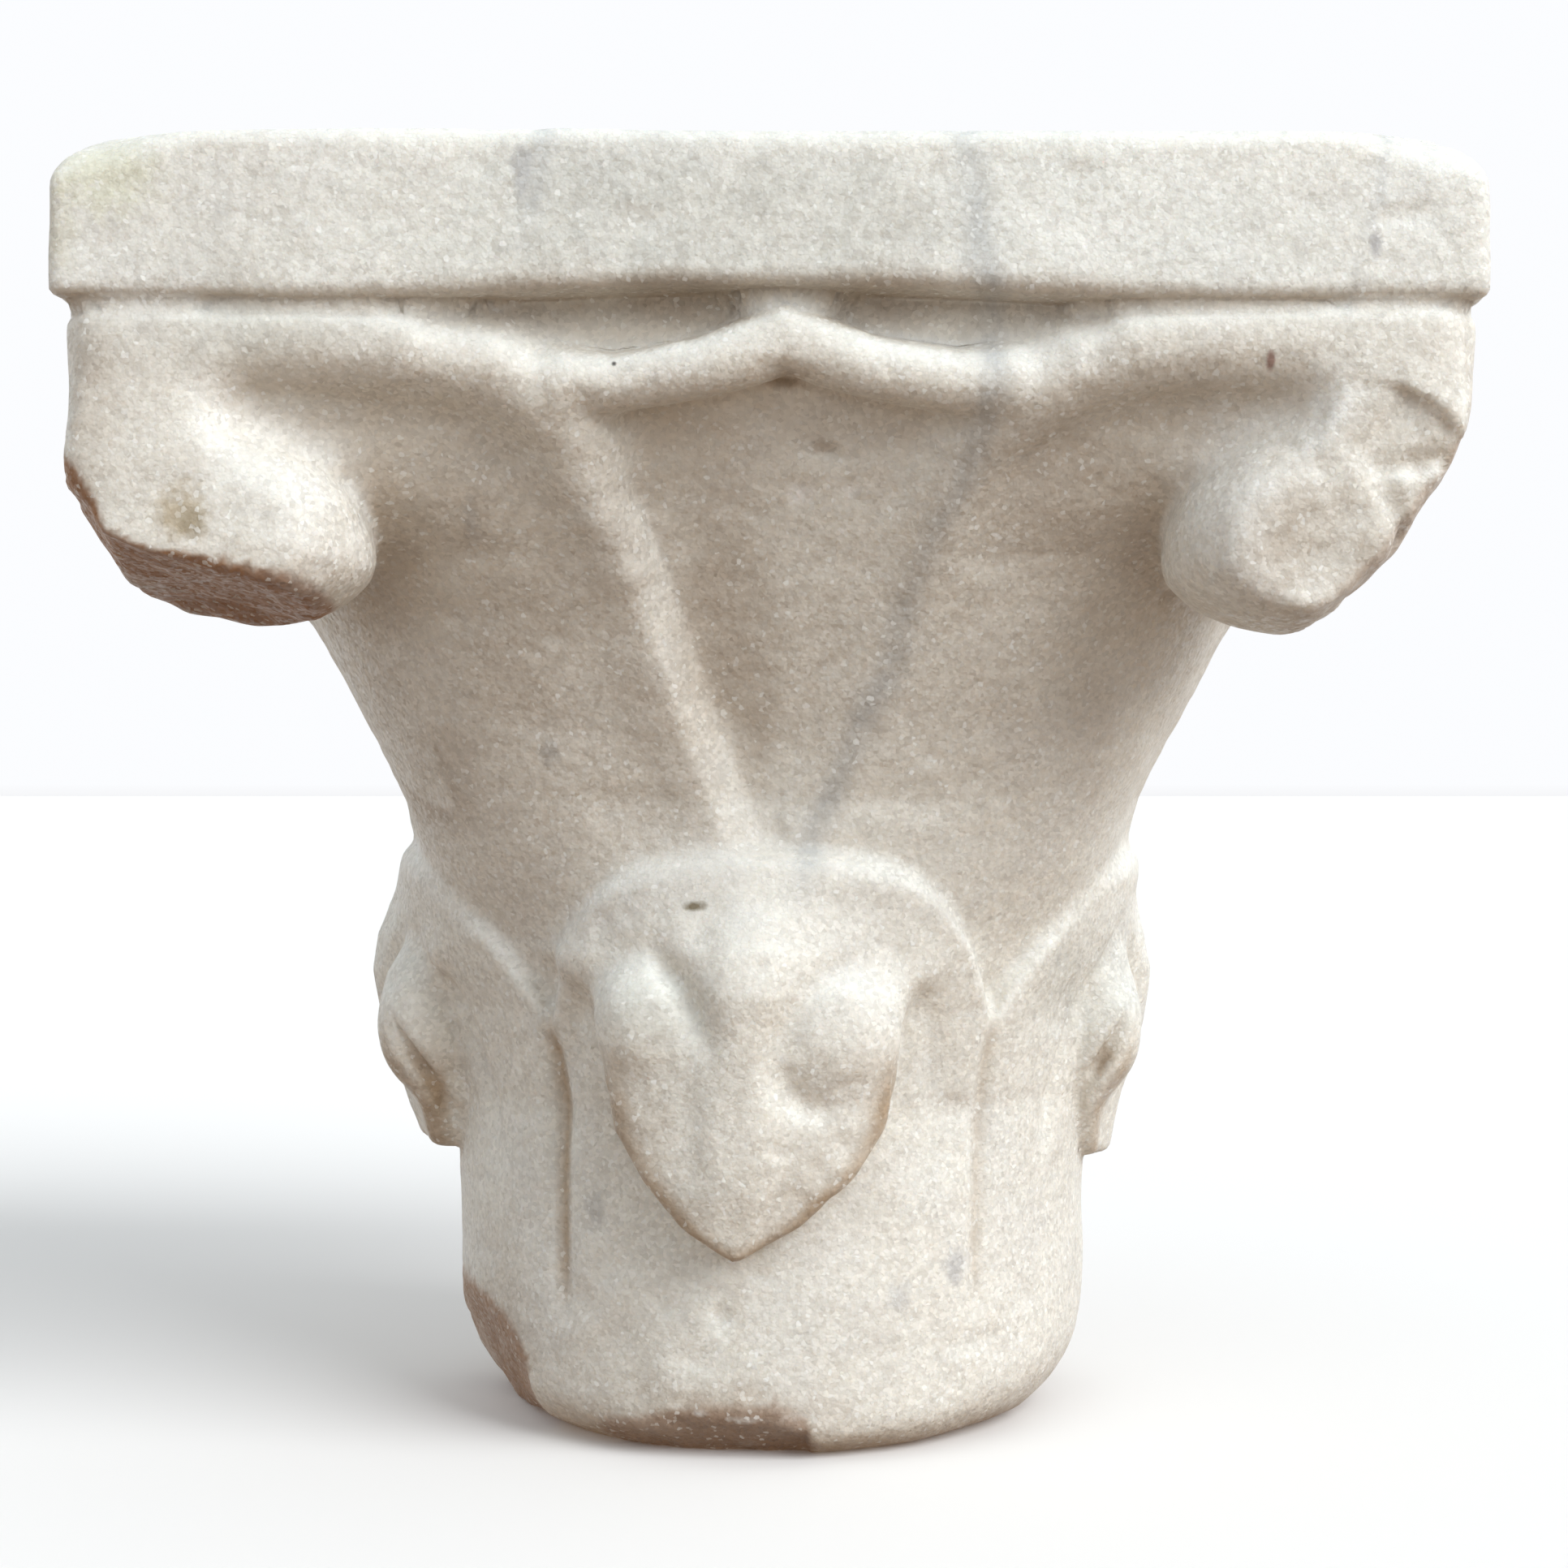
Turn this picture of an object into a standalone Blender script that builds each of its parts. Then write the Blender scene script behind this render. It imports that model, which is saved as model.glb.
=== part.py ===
"""Romanesque capital for a slender colonnette, carved from one block of white marble.

Four smooth leaves with folded tips stand round the neck, one to each face. Above them four larger
leaves climb to the corners of the abacus, where their ends roll into round volutes. A raised rim
edges each corner leaf, and between two rims lies a hollow gore under a pointed lip.

Metres, +Z up. The origin is the centre of the lower bed, and the front face looks along -Y.
A place on a face is given as across (to the right, seen from outside), height, and out from the axis.
"""

import math

import bmesh
import bpy
import numpy as np

# The block, and its lower edge, worn round
HEIGHT = 0.254
BED_RADIUS = 0.0500
NECK_RADIUS = 0.0705
WORN_FOOT = 0.030
WORN_FOOT_MEAN = 0.66
WORN_FOOT_SWING = 0.34
FOOT_EDGE = 0.002

# The abacus: worn most at its upper corners, and cut a little higher at mid-face
ABACUS_HALF = 0.130
ABACUS_LOW = 0.2228
ABACUS_CORNER = 0.0035
ABACUS_EDGE = 0.0030
ABACUS_CORNER_WEAR = 0.011
ABACUS_WEAR_BELOW = 0.008
ABACUS_WEAR_FROM = 0.100
ABACUS_LIFT = 0.0032
ABACUS_LIFT_HALF = 0.080
ABACUS_FILLET = 0.0015

# The bell behind the leaves, by height: half its width at mid-face, and the reach of its corner
BELL_HALF = (
    (0.075, 0.0675), (0.090, 0.0705), (0.105, 0.0735), (0.121, 0.0763), (0.133, 0.0790), (0.145, 0.0840),
    (0.165, 0.0938), (0.185, 0.1045), (0.205, 0.1130), (0.212, 0.1135), (0.222, 0.1115),
)
BELL_CORNER = (
    (0.075, 0.0675), (0.090, 0.0708), (0.105, 0.0765), (0.117, 0.0830), (0.128, 0.0880), (0.150, 0.0990),
    (0.170, 0.1095), (0.180, 0.1175), (0.190, 0.1350), (0.200, 0.1490), (0.210, 0.1545), (0.222, 0.1550),
)

# Hollow gore in each face, between the rims of two corner leaves. Its depth goes by height, and then from
# its left rim to its right rim.
GORE_HALF = (
    (0.117, 0.0050), (0.127, 0.0068), (0.151, 0.0152), (0.180, 0.0252), (0.1935, 0.0305), (0.203, 0.0355),
    (0.212, 0.0440),
)
GORE_DEPTH = ((0.118, 0.0), (0.128, 0.0026), (0.150, 0.0036), (0.190, 0.0040), (0.203, 0.0030), (0.210, 0.0006))
GORE_FLOOR = ((0.20, 1.00), (0.52, 0.62), (0.90, 0.0))
GORE_HEIGHTS = (0.108, 0.124, 0.200, 0.214)
WALL_POWER = 1.6

# Rim of a corner leaf: low and soft up to the turn, then a rounded bar out to the corner of the abacus, and a
# shoulder over it. Bars are given as across, height, out at the crest, half thickness.
RIDGE = 0.0027
RIDGE_HALF = 0.008
RIM = (
    (0.0245, 0.1780, 0.1025, 0.0040), (0.0305, 0.1935, 0.1140, 0.0062), (0.0355, 0.2030, 0.1204, 0.0066),
    (0.0430, 0.2085, 0.1238, 0.0072), (0.0540, 0.2132, 0.1254, 0.0076), (0.0700, 0.2158, 0.1266, 0.0077),
    (0.0980, 0.2165, 0.1274, 0.0078),
)
RIM_TURN = (0.188, 0.206)
RIM_FILLET = 0.004
BAND_FILLET = 0.007
SHOULDER = ((0.061, 0.2180, 0.1268, 0.0060), (0.080, 0.2185, 0.1280, 0.0065), (0.112, 0.2185, 0.1286, 0.0065))
SHOULDER_FILLET = 0.004

# Lip over the gore, from its peak down to the rim: its upper and lower edges, and the stone behind its peak
LIP_UPPER = ((0.0, 0.2186, 0.1266, 0.0043), (0.015, 0.2144, 0.1258, 0.0043), (0.038, 0.2108, 0.1238, 0.0046))
LIP_LOWER = ((0.0, 0.2138, 0.1260, 0.0040), (0.015, 0.2120, 0.1250, 0.0040), (0.038, 0.2096, 0.1230, 0.0044))
LIP_BACK = ((-0.014, 0.2195, 0.1195, 0.0050), (0.014, 0.2195, 0.1195, 0.0050))
LIP_FILLET = 0.003

# Corner volute and the end of the corner leaf that it hangs from, both flattened by the faces of the block,
# which lie a little inside the abacus
LEAF_FACES = 0.1290
LEAF_FACES_EDGE = 0.002
VOLUTE_CENTRE = 0.1035
VOLUTE_HEIGHT = 0.1790
VOLUTE_RADIUS = 0.0295
VOLUTE_RISE = 0.0275
VOLUTE_DROP = 0.0145
VOLUTE_POWER = 2.0
VOLUTE_FLAT = 0.1284
VOLUTE_EDGE = 0.004
VOLUTE_FILLET = 0.004
VOLUTE_UPPER_FILLET = 0.010
VOLUTE_UPPER_AT = (0.185, 0.198)
LEAF_END_CENTRE = 0.1155
LEAF_END_RADIUS = 0.0130
LEAF_END_LOW = 0.2030
LEAF_END_DROP = 0.0280
LEAF_END_POWER = 2.8
LEAF_END_FILLET = 0.010

# Lower leaf, one to a face: its arched top, its surface by height, and the crease between two leaves. The
# front and back leaves are narrower than the others.
LEAF_HALF_ANGLE = math.radians(38)
LEAF_NOTCH = 0.0895
LEAF_RISE = 0.0335
LEAF_ARCH_POWER = 3.4
LEAF_STEEPNESS = 1.3
LEAF_EDGE = 0.005
LEAF_OUT = (
    (0.000, 0.0695), (0.045, 0.0695), (0.070, 0.0705), (0.090, 0.0748), (0.105, 0.0800), (0.116, 0.0825),
    (0.124, 0.0830),
)
LEAF_FILLET = 0.0022
CREASE = 0.0022
WORN_CREASE = 0.0012
CREASE_HALF = 0.0023
CREASE_HEIGHTS = (0.022, 0.036, 0.080, 0.090)

# Folded tip of a lower leaf, by height: its crest out from the axis, half its width, and its midrib
TIP_OUT = (
    (0.040, 0.0715), (0.050, 0.0745), (0.058, 0.0775), (0.070, 0.0820), (0.083, 0.0862), (0.095, 0.0882),
    (0.103, 0.0868), (0.110, 0.0835), (0.117, 0.0795), (0.124, 0.0760),
)
TIP_HALF = (
    (0.040, -0.0030), (0.0432, 0.0030), (0.049, 0.0120), (0.0586, 0.0210), (0.068, 0.0268), (0.078, 0.0292),
    (0.088, 0.0298), (0.095, 0.0330), (0.103, 0.0400), (0.120, 0.0400),
)
TIP_LEAN = ((0.040, 0.0036), (0.050, 0.0020), (0.060, 0.0006), (0.070, 0.0))
TIP_ROUND = ((0.084, 0.062), (0.095, 0.042), (0.105, 0.034))
TIP_EDGE = 0.0022
TIP_SOFT_EDGE = 0.007
TIP_THICK_AT = (0.052, 0.084)
TIP_WORN_AT = (0.040, 0.070, 0.110, 0.122)
TIP_FILLET = 0.0012
TIP_SOFT_FILLET = 0.008
TIP_SOFT_AT = (0.086, 0.102)
MIDRIB = (
    (0.046, -0.0038), (0.060, -0.0023), (0.075, -0.0008), (0.088, -0.0003), (0.098, 0.0007), (0.110, 0.0027),
    (0.120, 0.0037),
)
MIDRIB_HALF = 0.0095
MIDRIB_PROUD = 0.0020
MIDRIB_END = (0.108, 0.122)

# Boss on each flank of a folded tip, and the hollows round it, as paths of across, height and depth
BOSS_FILLET = 0.0014
HOLLOW = (
    (0.0310, 0.0980, 0.0010), (0.0260, 0.1025, 0.0018), (0.0195, 0.1035, 0.0028), (0.0155, 0.0987, 0.0040),
    (0.0115, 0.0928, 0.0034), (0.0090, 0.0869, 0.0018), (0.0065, 0.0804, 0.0002),
)
WORN_HOLLOW = (
    (0.0338, 0.1020, 0.0006), (0.0250, 0.1025, 0.0014), (0.0175, 0.1005, 0.0016), (0.0105, 0.0949, 0.0015),
    (0.0056, 0.0885, 0.0012), (0.0044, 0.0822, 0.0011), (0.0060, 0.0776, 0.0012), (0.0098, 0.0738, 0.0013),
    (0.0136, 0.0728, 0.0011), (0.0175, 0.0752, 0.0003),
)
HOLLOW_HALF = 0.0032
FLANK_GROOVE = (
    (0.0305, 0.088, 0.0840, 0.0010), (0.0305, 0.080, 0.0800, 0.0018), (0.0290, 0.072, 0.0755, 0.0020),
    (0.0250, 0.064, 0.0705, 0.0018),
)
FLANK_EDGE = 0.0015
MARGIN_GROOVE = (
    (0.0270, 0.105, 0.0010), (0.0320, 0.097, 0.0020), (0.0355, 0.088, 0.0024), (0.0370, 0.078, 0.0024),
    (0.0385, 0.066, 0.0016), (0.0390, 0.056, 0.0002),
)
MARGIN_HALF = 0.0028
MARGIN_OUT = 0.084

# What differs from face to face, in the order front, right, back, left. Pairs are for the left and right rim.
FRONT, RIGHT, BACK, LEFT = range(4)
GORE_SHIFT_ENDS = (0.050, 0.090)
GORE_SHIFT = np.array((0.0030, -0.0010, 0.0015, -0.0015))
RIM_OUT = np.array(((0.0063, 0.0), (0.0040, 0.0035), (0.0025, 0.0030), (0.0045, 0.0020)))
RIDGE_LEFT = np.array(((1.0, 0.45), (0.8, 0.9), (0.6, 0.8), (0.9, 0.7)))
WALL_WIDE = np.array(((0.009, 0.010), (0.009, 0.009), (0.010, 0.009), (0.009, 0.010)))
RIM_WORN_BELOW = (0.195, 0.210)
RIM_WORN = np.array(((0.0, 0.0018), (0.0004, 0.0), (0.0008, 0.0002), (0.0, 0.0006)))
TIP_SHIFT = np.array((-0.0037, 0.0010, 0.0020, -0.0010))
TIP_LEAN_SHARE = np.array((-1.0, 0.4, 0.7, -0.3))
TIP_THICK = np.array((0.0055, 0.0, 0.0020, 0.0))
TIP_WORN = np.array((0.0, 0.0050, 0.0030, 0.0))
TIP_BROKEN_AT = np.array((0.0, 0.0545, 0.0, 0.0570))
MARGIN_SHARE = np.array((0.35, 1.0, 0.7, 1.0))

# Bosses as across, height, out, half width, half height and depth
BOSS_SIZE = (0.0840, 0.0755, 0.0105, 0.0145, 0.0100)
LEFT_BOSSES = np.array(((-0.0216, 0.0906, 0.0775, 0.0090, 0.0088, 0.0080),) + ((-0.0215,) + BOSS_SIZE,) * 3)
RIGHT_BOSSES = np.array(((0.0164, 0.0870, 0.0782, 0.0115, 0.0120, 0.0090),) + ((0.0215,) + BOSS_SIZE,) * 3)

# Breaks: a point on each broken plane, the way that the lost stone lay, the reach, and how worn its edge is
BREAKS = (
    ((-0.1000, -0.1250, 0.1768), (-0.04, -0.30, -0.95), 0.042, 0.0008),
    ((-0.1215, -0.1120, 0.1790), (-0.82, -0.12, -0.56), 0.034, 0.0010),
    ((0.1220, -0.1100, 0.1885), (0.80, -0.10, -0.59), 0.040, 0.0025),
    ((0.1103, -0.1100, 0.1732), (0.62, -0.10, -0.78), 0.036, 0.0030),
    ((0.1050, -0.1245, 0.1850), (0.08, -0.985, -0.14), 0.036, 0.0015),
    ((-0.0655, -0.0140, 0.0200), (-0.84, -0.26, -0.48), 0.052, 0.0012),
    ((-0.0300, -0.0660, 0.0040), (-0.05, -0.60, -0.80), 0.048, 0.0015),
)
BREAK_START = 0.67

# How finely the block is roughed out, remeshed and thinned
ROUGH_RADIUS = 0.200
ROUGH_SIDES = 192
ROUGH_ROWS = 128
STONE_VOXELS = (0.0034, 0.0026)
STONE_TRIANGLES = 9600
SETTLE_ROUNDS = 12
RELAX_ROUNDS = 8
BED_SNAP = 0.0006

MARBLE_COLOUR = (0.79, 0.76, 0.72, 1)
MARBLE_ROUGHNESS = 0.6


def by_height(table, z):
    heights, values = zip(*table)
    return np.interp(z, heights, values)


def fuse(a, b, reach):
    """Joins two forms, with a fillet where they meet."""
    share = np.clip(0.5 + 0.5 * (b - a) / reach, 0, 1)
    return b * (1 - share) + a * share - reach * share * (1 - share)


def trim(a, b, reach):
    """Keeps what lies in both forms, with the edge between them eased."""
    return -fuse(-a, -b, reach)


def ease(value, start, end):
    share = np.clip((value - start) / (end - start), 0, 1)
    return share * share * (3 - 2 * share)


def face_place(x, y):
    """The face that a point belongs to, and its place across that face and out from the axis."""
    on_y = np.abs(y) >= np.abs(x)
    face = np.where(on_y, np.where(y < 0, FRONT, BACK), np.where(x > 0, RIGHT, LEFT))
    across = np.choose(face, (x, y, -x, -y))
    return face, across, np.maximum(np.abs(x), np.abs(y))


def rounded_box(gap_x, gap_y, radius):
    """A corner rounded at that radius, from how far a point lies past each of two sides."""
    past_x, past_y = gap_x + radius, gap_y + radius
    outside = np.hypot(np.maximum(past_x, 0), np.maximum(past_y, 0))
    return outside + np.minimum(np.maximum(past_x, past_y), 0) - radius


def between(z, rise_from, rise_to, fall_from, fall_to):
    """One between two heights, and easing to nothing above and below them."""
    return ease(z, rise_from, rise_to) * (1 - ease(z, fall_from, fall_to))


def bar(knots, across, out, z):
    """A rounded bar, as a chain of knots on a face: across, height, out at its crest, half thickness."""
    nearest = np.full(across.shape, np.inf)
    knots = [np.array((wide, height, crest - half, half)) for wide, height, crest, half in knots]
    for start, end in zip(knots, knots[1:]):
        run = end[:3] - start[:3]
        offset = np.stack((across - start[0], z - start[1], out - start[2]))
        share = np.clip(run @ offset / run.dot(run), 0, 1)
        gap = np.sqrt(((offset - run[:, None] * share) ** 2).sum(0))
        nearest = np.minimum(nearest, gap - (start[3] + share * (end[3] - start[3])))
    return nearest


def grooved(path, half, across, z):
    """How deep a soft groove is at a place on a face, along a path of across, height and depth."""
    cut = np.zeros(across.shape)
    path = [np.array(knot) for knot in path]
    for start, end in zip(path, path[1:]):
        run = end - start
        share = ((across - start[0]) * run[0] + (z - start[1]) * run[1]) / (run[0] ** 2 + run[1] ** 2)
        share = np.clip(share, 0, 1)
        gap = np.hypot(across - start[0] - share * run[0], z - start[1] - share * run[1])
        cut = np.maximum(cut, (start[2] + share * run[2]) * np.exp(-((gap / half) ** 2)))
    return cut


def lump(x, y, z, centre, radius, low, high, rise, drop, power):
    """Rounded lump at each of the four corners, drawn out between two heights."""
    up = np.maximum(z - high, 0) / rise + np.maximum(low - z, 0) / drop
    parts = (np.abs(np.abs(x) - centre) / radius, np.abs(np.abs(y) - centre) / radius, up)
    return (sum(part**power for part in parts) ** (1 / power) - 1) * min(radius, drop)


def abacus(across, x, y, z):
    side = rounded_box(np.abs(x) - ABACUS_HALF, np.abs(y) - ABACUS_HALF, ABACUS_CORNER)
    low = ABACUS_LOW + ABACUS_LIFT * np.clip(1 - (across / ABACUS_LIFT_HALF) ** 2, 0, 1)
    rise = np.abs(z - (HEIGHT + low) / 2) - (HEIGHT - low) / 2
    near_top = ease(z, ABACUS_LOW + ABACUS_WEAR_BELOW, HEIGHT)
    near_corner = ease(np.minimum(np.abs(x), np.abs(y)), ABACUS_WEAR_FROM, ABACUS_HALF)
    return rounded_box(side, rise, ABACUS_EDGE + ABACUS_CORNER_WEAR * near_top * near_corner)


def bell(face, across, x, y, z):
    """Flaring core, round at the neck and squarer above, with a hollow gore between two low rims."""
    half, corner = by_height(BELL_HALF, z), by_height(BELL_CORNER, z)
    power = 1 / np.maximum(0.5 - np.log2(np.maximum(corner / half, 1.0)), 0.05)
    far, near = np.maximum(np.abs(x), np.abs(y)) + 1e-9, np.minimum(np.abs(x), np.abs(y)) + 1e-9
    core = far * (1 + (near / far) ** power) ** (1 / power) - half
    place = across - GORE_SHIFT[face]
    hand = (place > 0).astype(int)
    middle = by_height(GORE_HALF, z)
    inside = middle + RIM_OUT[face, hand] - np.abs(place)
    wall = np.clip(inside / WALL_WIDE[face, hand], 0, 1) ** WALL_POWER
    outer = np.exp(-((np.minimum(inside, 0) / RIDGE_HALF) ** 2))
    ridge = RIDGE * RIDGE_LEFT[face, hand] * between(z, *GORE_HEIGHTS)
    floor = by_height(GORE_FLOOR, 0.5 + 0.5 * place / middle)
    return core - ridge * outer * (1 - wall) + by_height(GORE_DEPTH, z) * wall * floor


def rims_and_lip(form, face, across, out, z):
    """Adds the bars that edge the corner leaves and hang over the gore."""
    place = across - GORE_SHIFT[face] * (1 - ease(np.abs(across), *GORE_SHIFT_ENDS))
    hand = (place > 0).astype(int)
    turned = ease(z, *RIM_TURN)
    worn = RIM_WORN[face, hand] * (1 - ease(z, *RIM_WORN_BELOW))
    aside = np.abs(place) - RIM_OUT[face, hand] * (1 - turned)
    fillet = RIM_FILLET + (BAND_FILLET - RIM_FILLET) * turned
    form = fuse(form, bar(RIM, aside, out + worn, z), fillet)
    form = fuse(form, bar(SHOULDER, np.abs(across), out, z), SHOULDER_FILLET)
    form = fuse(form, bar(LIP_BACK, place, out, z), LIP_FILLET)
    for knots in (LIP_UPPER, LIP_LOWER):
        form = fuse(form, bar(knots, np.abs(place), out, z), LIP_FILLET)
    return form


def leaf_end(x, y, z):
    return lump(
        x, y, z, LEAF_END_CENTRE, LEAF_END_RADIUS, LEAF_END_LOW, ABACUS_LOW, LEAF_END_DROP, LEAF_END_DROP,
        LEAF_END_POWER,
    )


def volute(x, y, z):
    ball = lump(
        x, y, z, VOLUTE_CENTRE, VOLUTE_RADIUS, VOLUTE_HEIGHT, VOLUTE_HEIGHT, VOLUTE_RISE, VOLUTE_DROP,
        VOLUTE_POWER,
    )
    faces = rounded_box(np.abs(x) - VOLUTE_FLAT, np.abs(y) - VOLUTE_FLAT, VOLUTE_EDGE)
    return trim(ball, faces, VOLUTE_EDGE)


def lower_leaves(x, y, z):
    """An arched leaf on each face, with a crease where two of them meet."""
    turn = np.arctan2(np.abs(x), np.abs(y))
    narrow = turn < LEAF_HALF_ANGLE
    wide = np.where(narrow, LEAF_HALF_ANGLE, math.pi / 2 - LEAF_HALF_ANGLE)
    share = np.where(narrow, turn, math.pi / 2 - turn) / wide
    radius = np.hypot(x, y)
    gap = (1 - share) * wide * radius / CREASE_HALF
    crease = np.where((x > 0) & (y < 0), WORN_CREASE, CREASE) * between(z, *CREASE_HEIGHTS)
    body = radius - by_height(LEAF_OUT, z) + crease * np.exp(-(gap**2))
    arch = z - LEAF_NOTCH - LEAF_RISE * (1 - share**LEAF_ARCH_POWER)
    return trim(body, arch / LEAF_STEEPNESS, LEAF_EDGE)


def boss(place, face, out, z):
    """Oval swelling on each flank of a folded tip."""
    sizes = np.where((place < 0)[:, None], LEFT_BOSSES[face], RIGHT_BOSSES[face]).T
    parts = (place - sizes[0]) / sizes[3], (z - sizes[1]) / sizes[4], (out - sizes[2]) / sizes[5]
    return (np.sqrt(sum(part**2 for part in parts)) - 1) * sizes[3]


def folded_tip(face, across, out, z):
    """The tip of a lower leaf, folded forward and down to a point, with a midrib and hollowed flanks."""
    place = across - TIP_SHIFT[face] - by_height(TIP_LEAN, z) * TIP_LEAN_SHARE[face]
    aside = np.abs(place)
    worn = TIP_WORN[face] * between(z, *TIP_WORN_AT)
    rib = MIDRIB_PROUD * np.exp(-(((place - by_height(MIDRIB, z)) / MIDRIB_HALF) ** 4))
    crest = by_height(TIP_OUT, z) - worn + TIP_THICK[face] * (1 - ease(z, *TIP_THICK_AT))
    crest = crest + rib * (1 - ease(z, *MIDRIB_END))
    is_worn_side = (face == FRONT) & (place > 0)
    sharp = grooved(HOLLOW, HOLLOW_HALF, aside, z) * (1 - is_worn_side)
    soft = grooved(WORN_HOLLOW, HOLLOW_HALF, place, z) * (face == FRONT)
    tip = out - crest + place**2 / (2 * by_height(TIP_ROUND, z)) + np.maximum(sharp, soft)
    edge = TIP_EDGE + (TIP_SOFT_EDGE - TIP_EDGE) * ease(z, *TIP_SOFT_AT)
    tip = trim(tip, aside - by_height(TIP_HALF, z), edge)
    tip = fuse(tip, boss(place, face, out + worn, z), BOSS_FILLET)
    tip = trim(tip, -bar(FLANK_GROOVE, aside, out + worn, z), FLANK_EDGE)
    return trim(tip, TIP_BROKEN_AT[face] - z, TIP_EDGE)


def margin(face, across, out, z):
    """Depth of the soft groove that follows the margin of a lower leaf."""
    aside = np.abs(across - TIP_SHIFT[face])
    return grooved(MARGIN_GROOVE, MARGIN_HALF, aside, z) * MARGIN_SHARE[face] * (out < MARGIN_OUT)


def worn_foot(x, y, z):
    """The lower edge, worn round, more at the sides than in front and behind."""
    share = WORN_FOOT_MEAN + WORN_FOOT_SWING * np.cos(2 * np.arctan2(y, x))
    tall = WORN_FOOT * share
    foot = BED_RADIUS + (NECK_RADIUS - BED_RADIUS) * (1 - share) * 0.6
    up = np.clip((tall - z) / tall, 0, 1)
    edge = foot + (NECK_RADIUS - foot) * np.sqrt(1 - up**2)
    return np.where(z < tall, np.hypot(x, y) - edge, -1.0)


def broken(places, point, way, reach):
    """A broken plane, which only takes stone near its own point."""
    way = np.array(way) / np.linalg.norm(way)
    offset = places - np.array(point)
    depth = offset @ way
    aside = np.linalg.norm(offset - np.outer(depth, way), axis=1)
    return depth - HEIGHT * ease(aside, BREAK_START * reach, reach)


def carved(places):
    """Below zero inside the stone, above zero outside it, and zero on its carved surface."""
    x, y, z = places.T
    face, across, out = face_place(x, y)
    form = rims_and_lip(bell(face, across, x, y, z), face, across, out, z)
    form = fuse(form, leaf_end(x, y, z), LEAF_END_FILLET)
    blend = VOLUTE_FILLET + (VOLUTE_UPPER_FILLET - VOLUTE_FILLET) * ease(z, *VOLUTE_UPPER_AT)
    form = fuse(form, volute(x, y, z), blend)
    faces = rounded_box(np.abs(x) - LEAF_FACES, np.abs(y) - LEAF_FACES, VOLUTE_EDGE)
    form = trim(form, faces, LEAF_FACES_EDGE)
    form = fuse(form, lower_leaves(x, y, z), LEAF_FILLET)
    blend = TIP_FILLET + (TIP_SOFT_FILLET - TIP_FILLET) * ease(z, *TIP_SOFT_AT)
    form = fuse(form, folded_tip(face, across, out, z), blend) + margin(face, across, out, z)
    form = trim(form, worn_foot(x, y, z), FOOT_EDGE)
    form = fuse(form, abacus(across, x, y, z), ABACUS_FILLET)
    for point, way, reach, edge in BREAKS:
        form = trim(form, broken(places, point, way, reach), edge)
    return np.maximum(form, np.maximum(z - HEIGHT, -z))


def read_points(mesh):
    flat = np.empty(len(mesh.vertices) * 3, np.float32)
    mesh.vertices.foreach_get("co", flat)
    return flat.reshape(-1, 3).astype(float)


def write_points(mesh, points):
    mesh.vertices.foreach_set("co", points.astype(np.float32).ravel())
    mesh.update()


def read_edges(mesh):
    flat = np.empty(len(mesh.edges) * 2, np.int32)
    mesh.edges.foreach_get("vertices", flat)
    return flat.reshape(-1, 2)


def round_block():
    """A cylinder the height of the block, cut into rows."""
    bm = bmesh.new()
    bmesh.ops.create_cone(
        bm, cap_ends=True, segments=ROUGH_SIDES, radius1=ROUGH_RADIUS, radius2=ROUGH_RADIUS, depth=HEIGHT
    )
    uprights = [e for e in bm.edges if abs(e.verts[0].co.z - e.verts[1].co.z) > HEIGHT / 2]
    bmesh.ops.subdivide_edges(bm, edges=uprights, cuts=ROUGH_ROWS, use_grid_fill=True)
    bmesh.ops.translate(bm, verts=bm.verts, vec=(0, 0, HEIGHT / 2))
    mesh = bpy.data.meshes.new("capital")
    bm.to_mesh(mesh)
    bm.free()
    return mesh


def push_in(mesh):
    """Takes each point of the round block in towards the axis until it meets the carved surface."""
    close, bite, longest_bite = 0.0001, 0.6, 0.010
    points = read_points(mesh)
    points[:, 2] = np.clip(points[:, 2], close, HEIGHT - close)
    radius = np.hypot(points[:, 0], points[:, 1])
    way = points[:, :2] / radius[:, None]
    left = np.arange(len(points))
    while len(left):
        points[left, :2] = way[left] * radius[left, None]
        gap = carved(points[left])
        radius[left] -= np.clip(gap * bite, 0, longest_bite)
        left = left[gap > close]
    write_points(mesh, points)


def relaxed(points, edges):
    """Each point moved half way to the middle of its neighbours, which keeps the mesh even."""
    ends = np.concatenate((edges[:, 0], edges[:, 1]))
    others = np.concatenate((edges[:, 1], edges[:, 0]))
    count = np.bincount(ends, minlength=len(points))
    middle = np.column_stack([np.bincount(ends, points[others, i], len(points)) for i in range(3)])
    return points + 0.5 * (middle / count[:, None] - points)


def settle(mesh):
    """Moves each point of the mesh straight onto the carved surface."""
    step, least_slope, longest_move = 0.0002, 0.2, 0.0016
    points, edges = read_points(mesh), read_edges(mesh)
    for turn in range(SETTLE_ROUNDS):
        if turn < RELAX_ROUNDS:
            points = relaxed(points, edges)
        value = carved(points)
        slope = np.column_stack([carved(points + shift) - value for shift in np.eye(3) * step]) / step
        move = slope * (value / np.maximum((slope**2).sum(1), least_slope))[:, None]
        length = np.linalg.norm(move, axis=1)
        points -= move * np.minimum(1, longest_move / np.maximum(length, 1e-9))[:, None]
    write_points(mesh, points)


def true_faces(mesh):
    """Makes the upper and lower beds exactly flat, and keeps the abacus to its width."""
    points = read_points(mesh)
    points[:, :2] = np.clip(points[:, :2], -ABACUS_HALF, ABACUS_HALF)
    points[points[:, 2] > HEIGHT - BED_SNAP, 2] = HEIGHT
    points[points[:, 2] < BED_SNAP, 2] = 0
    write_points(mesh, points)


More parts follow.
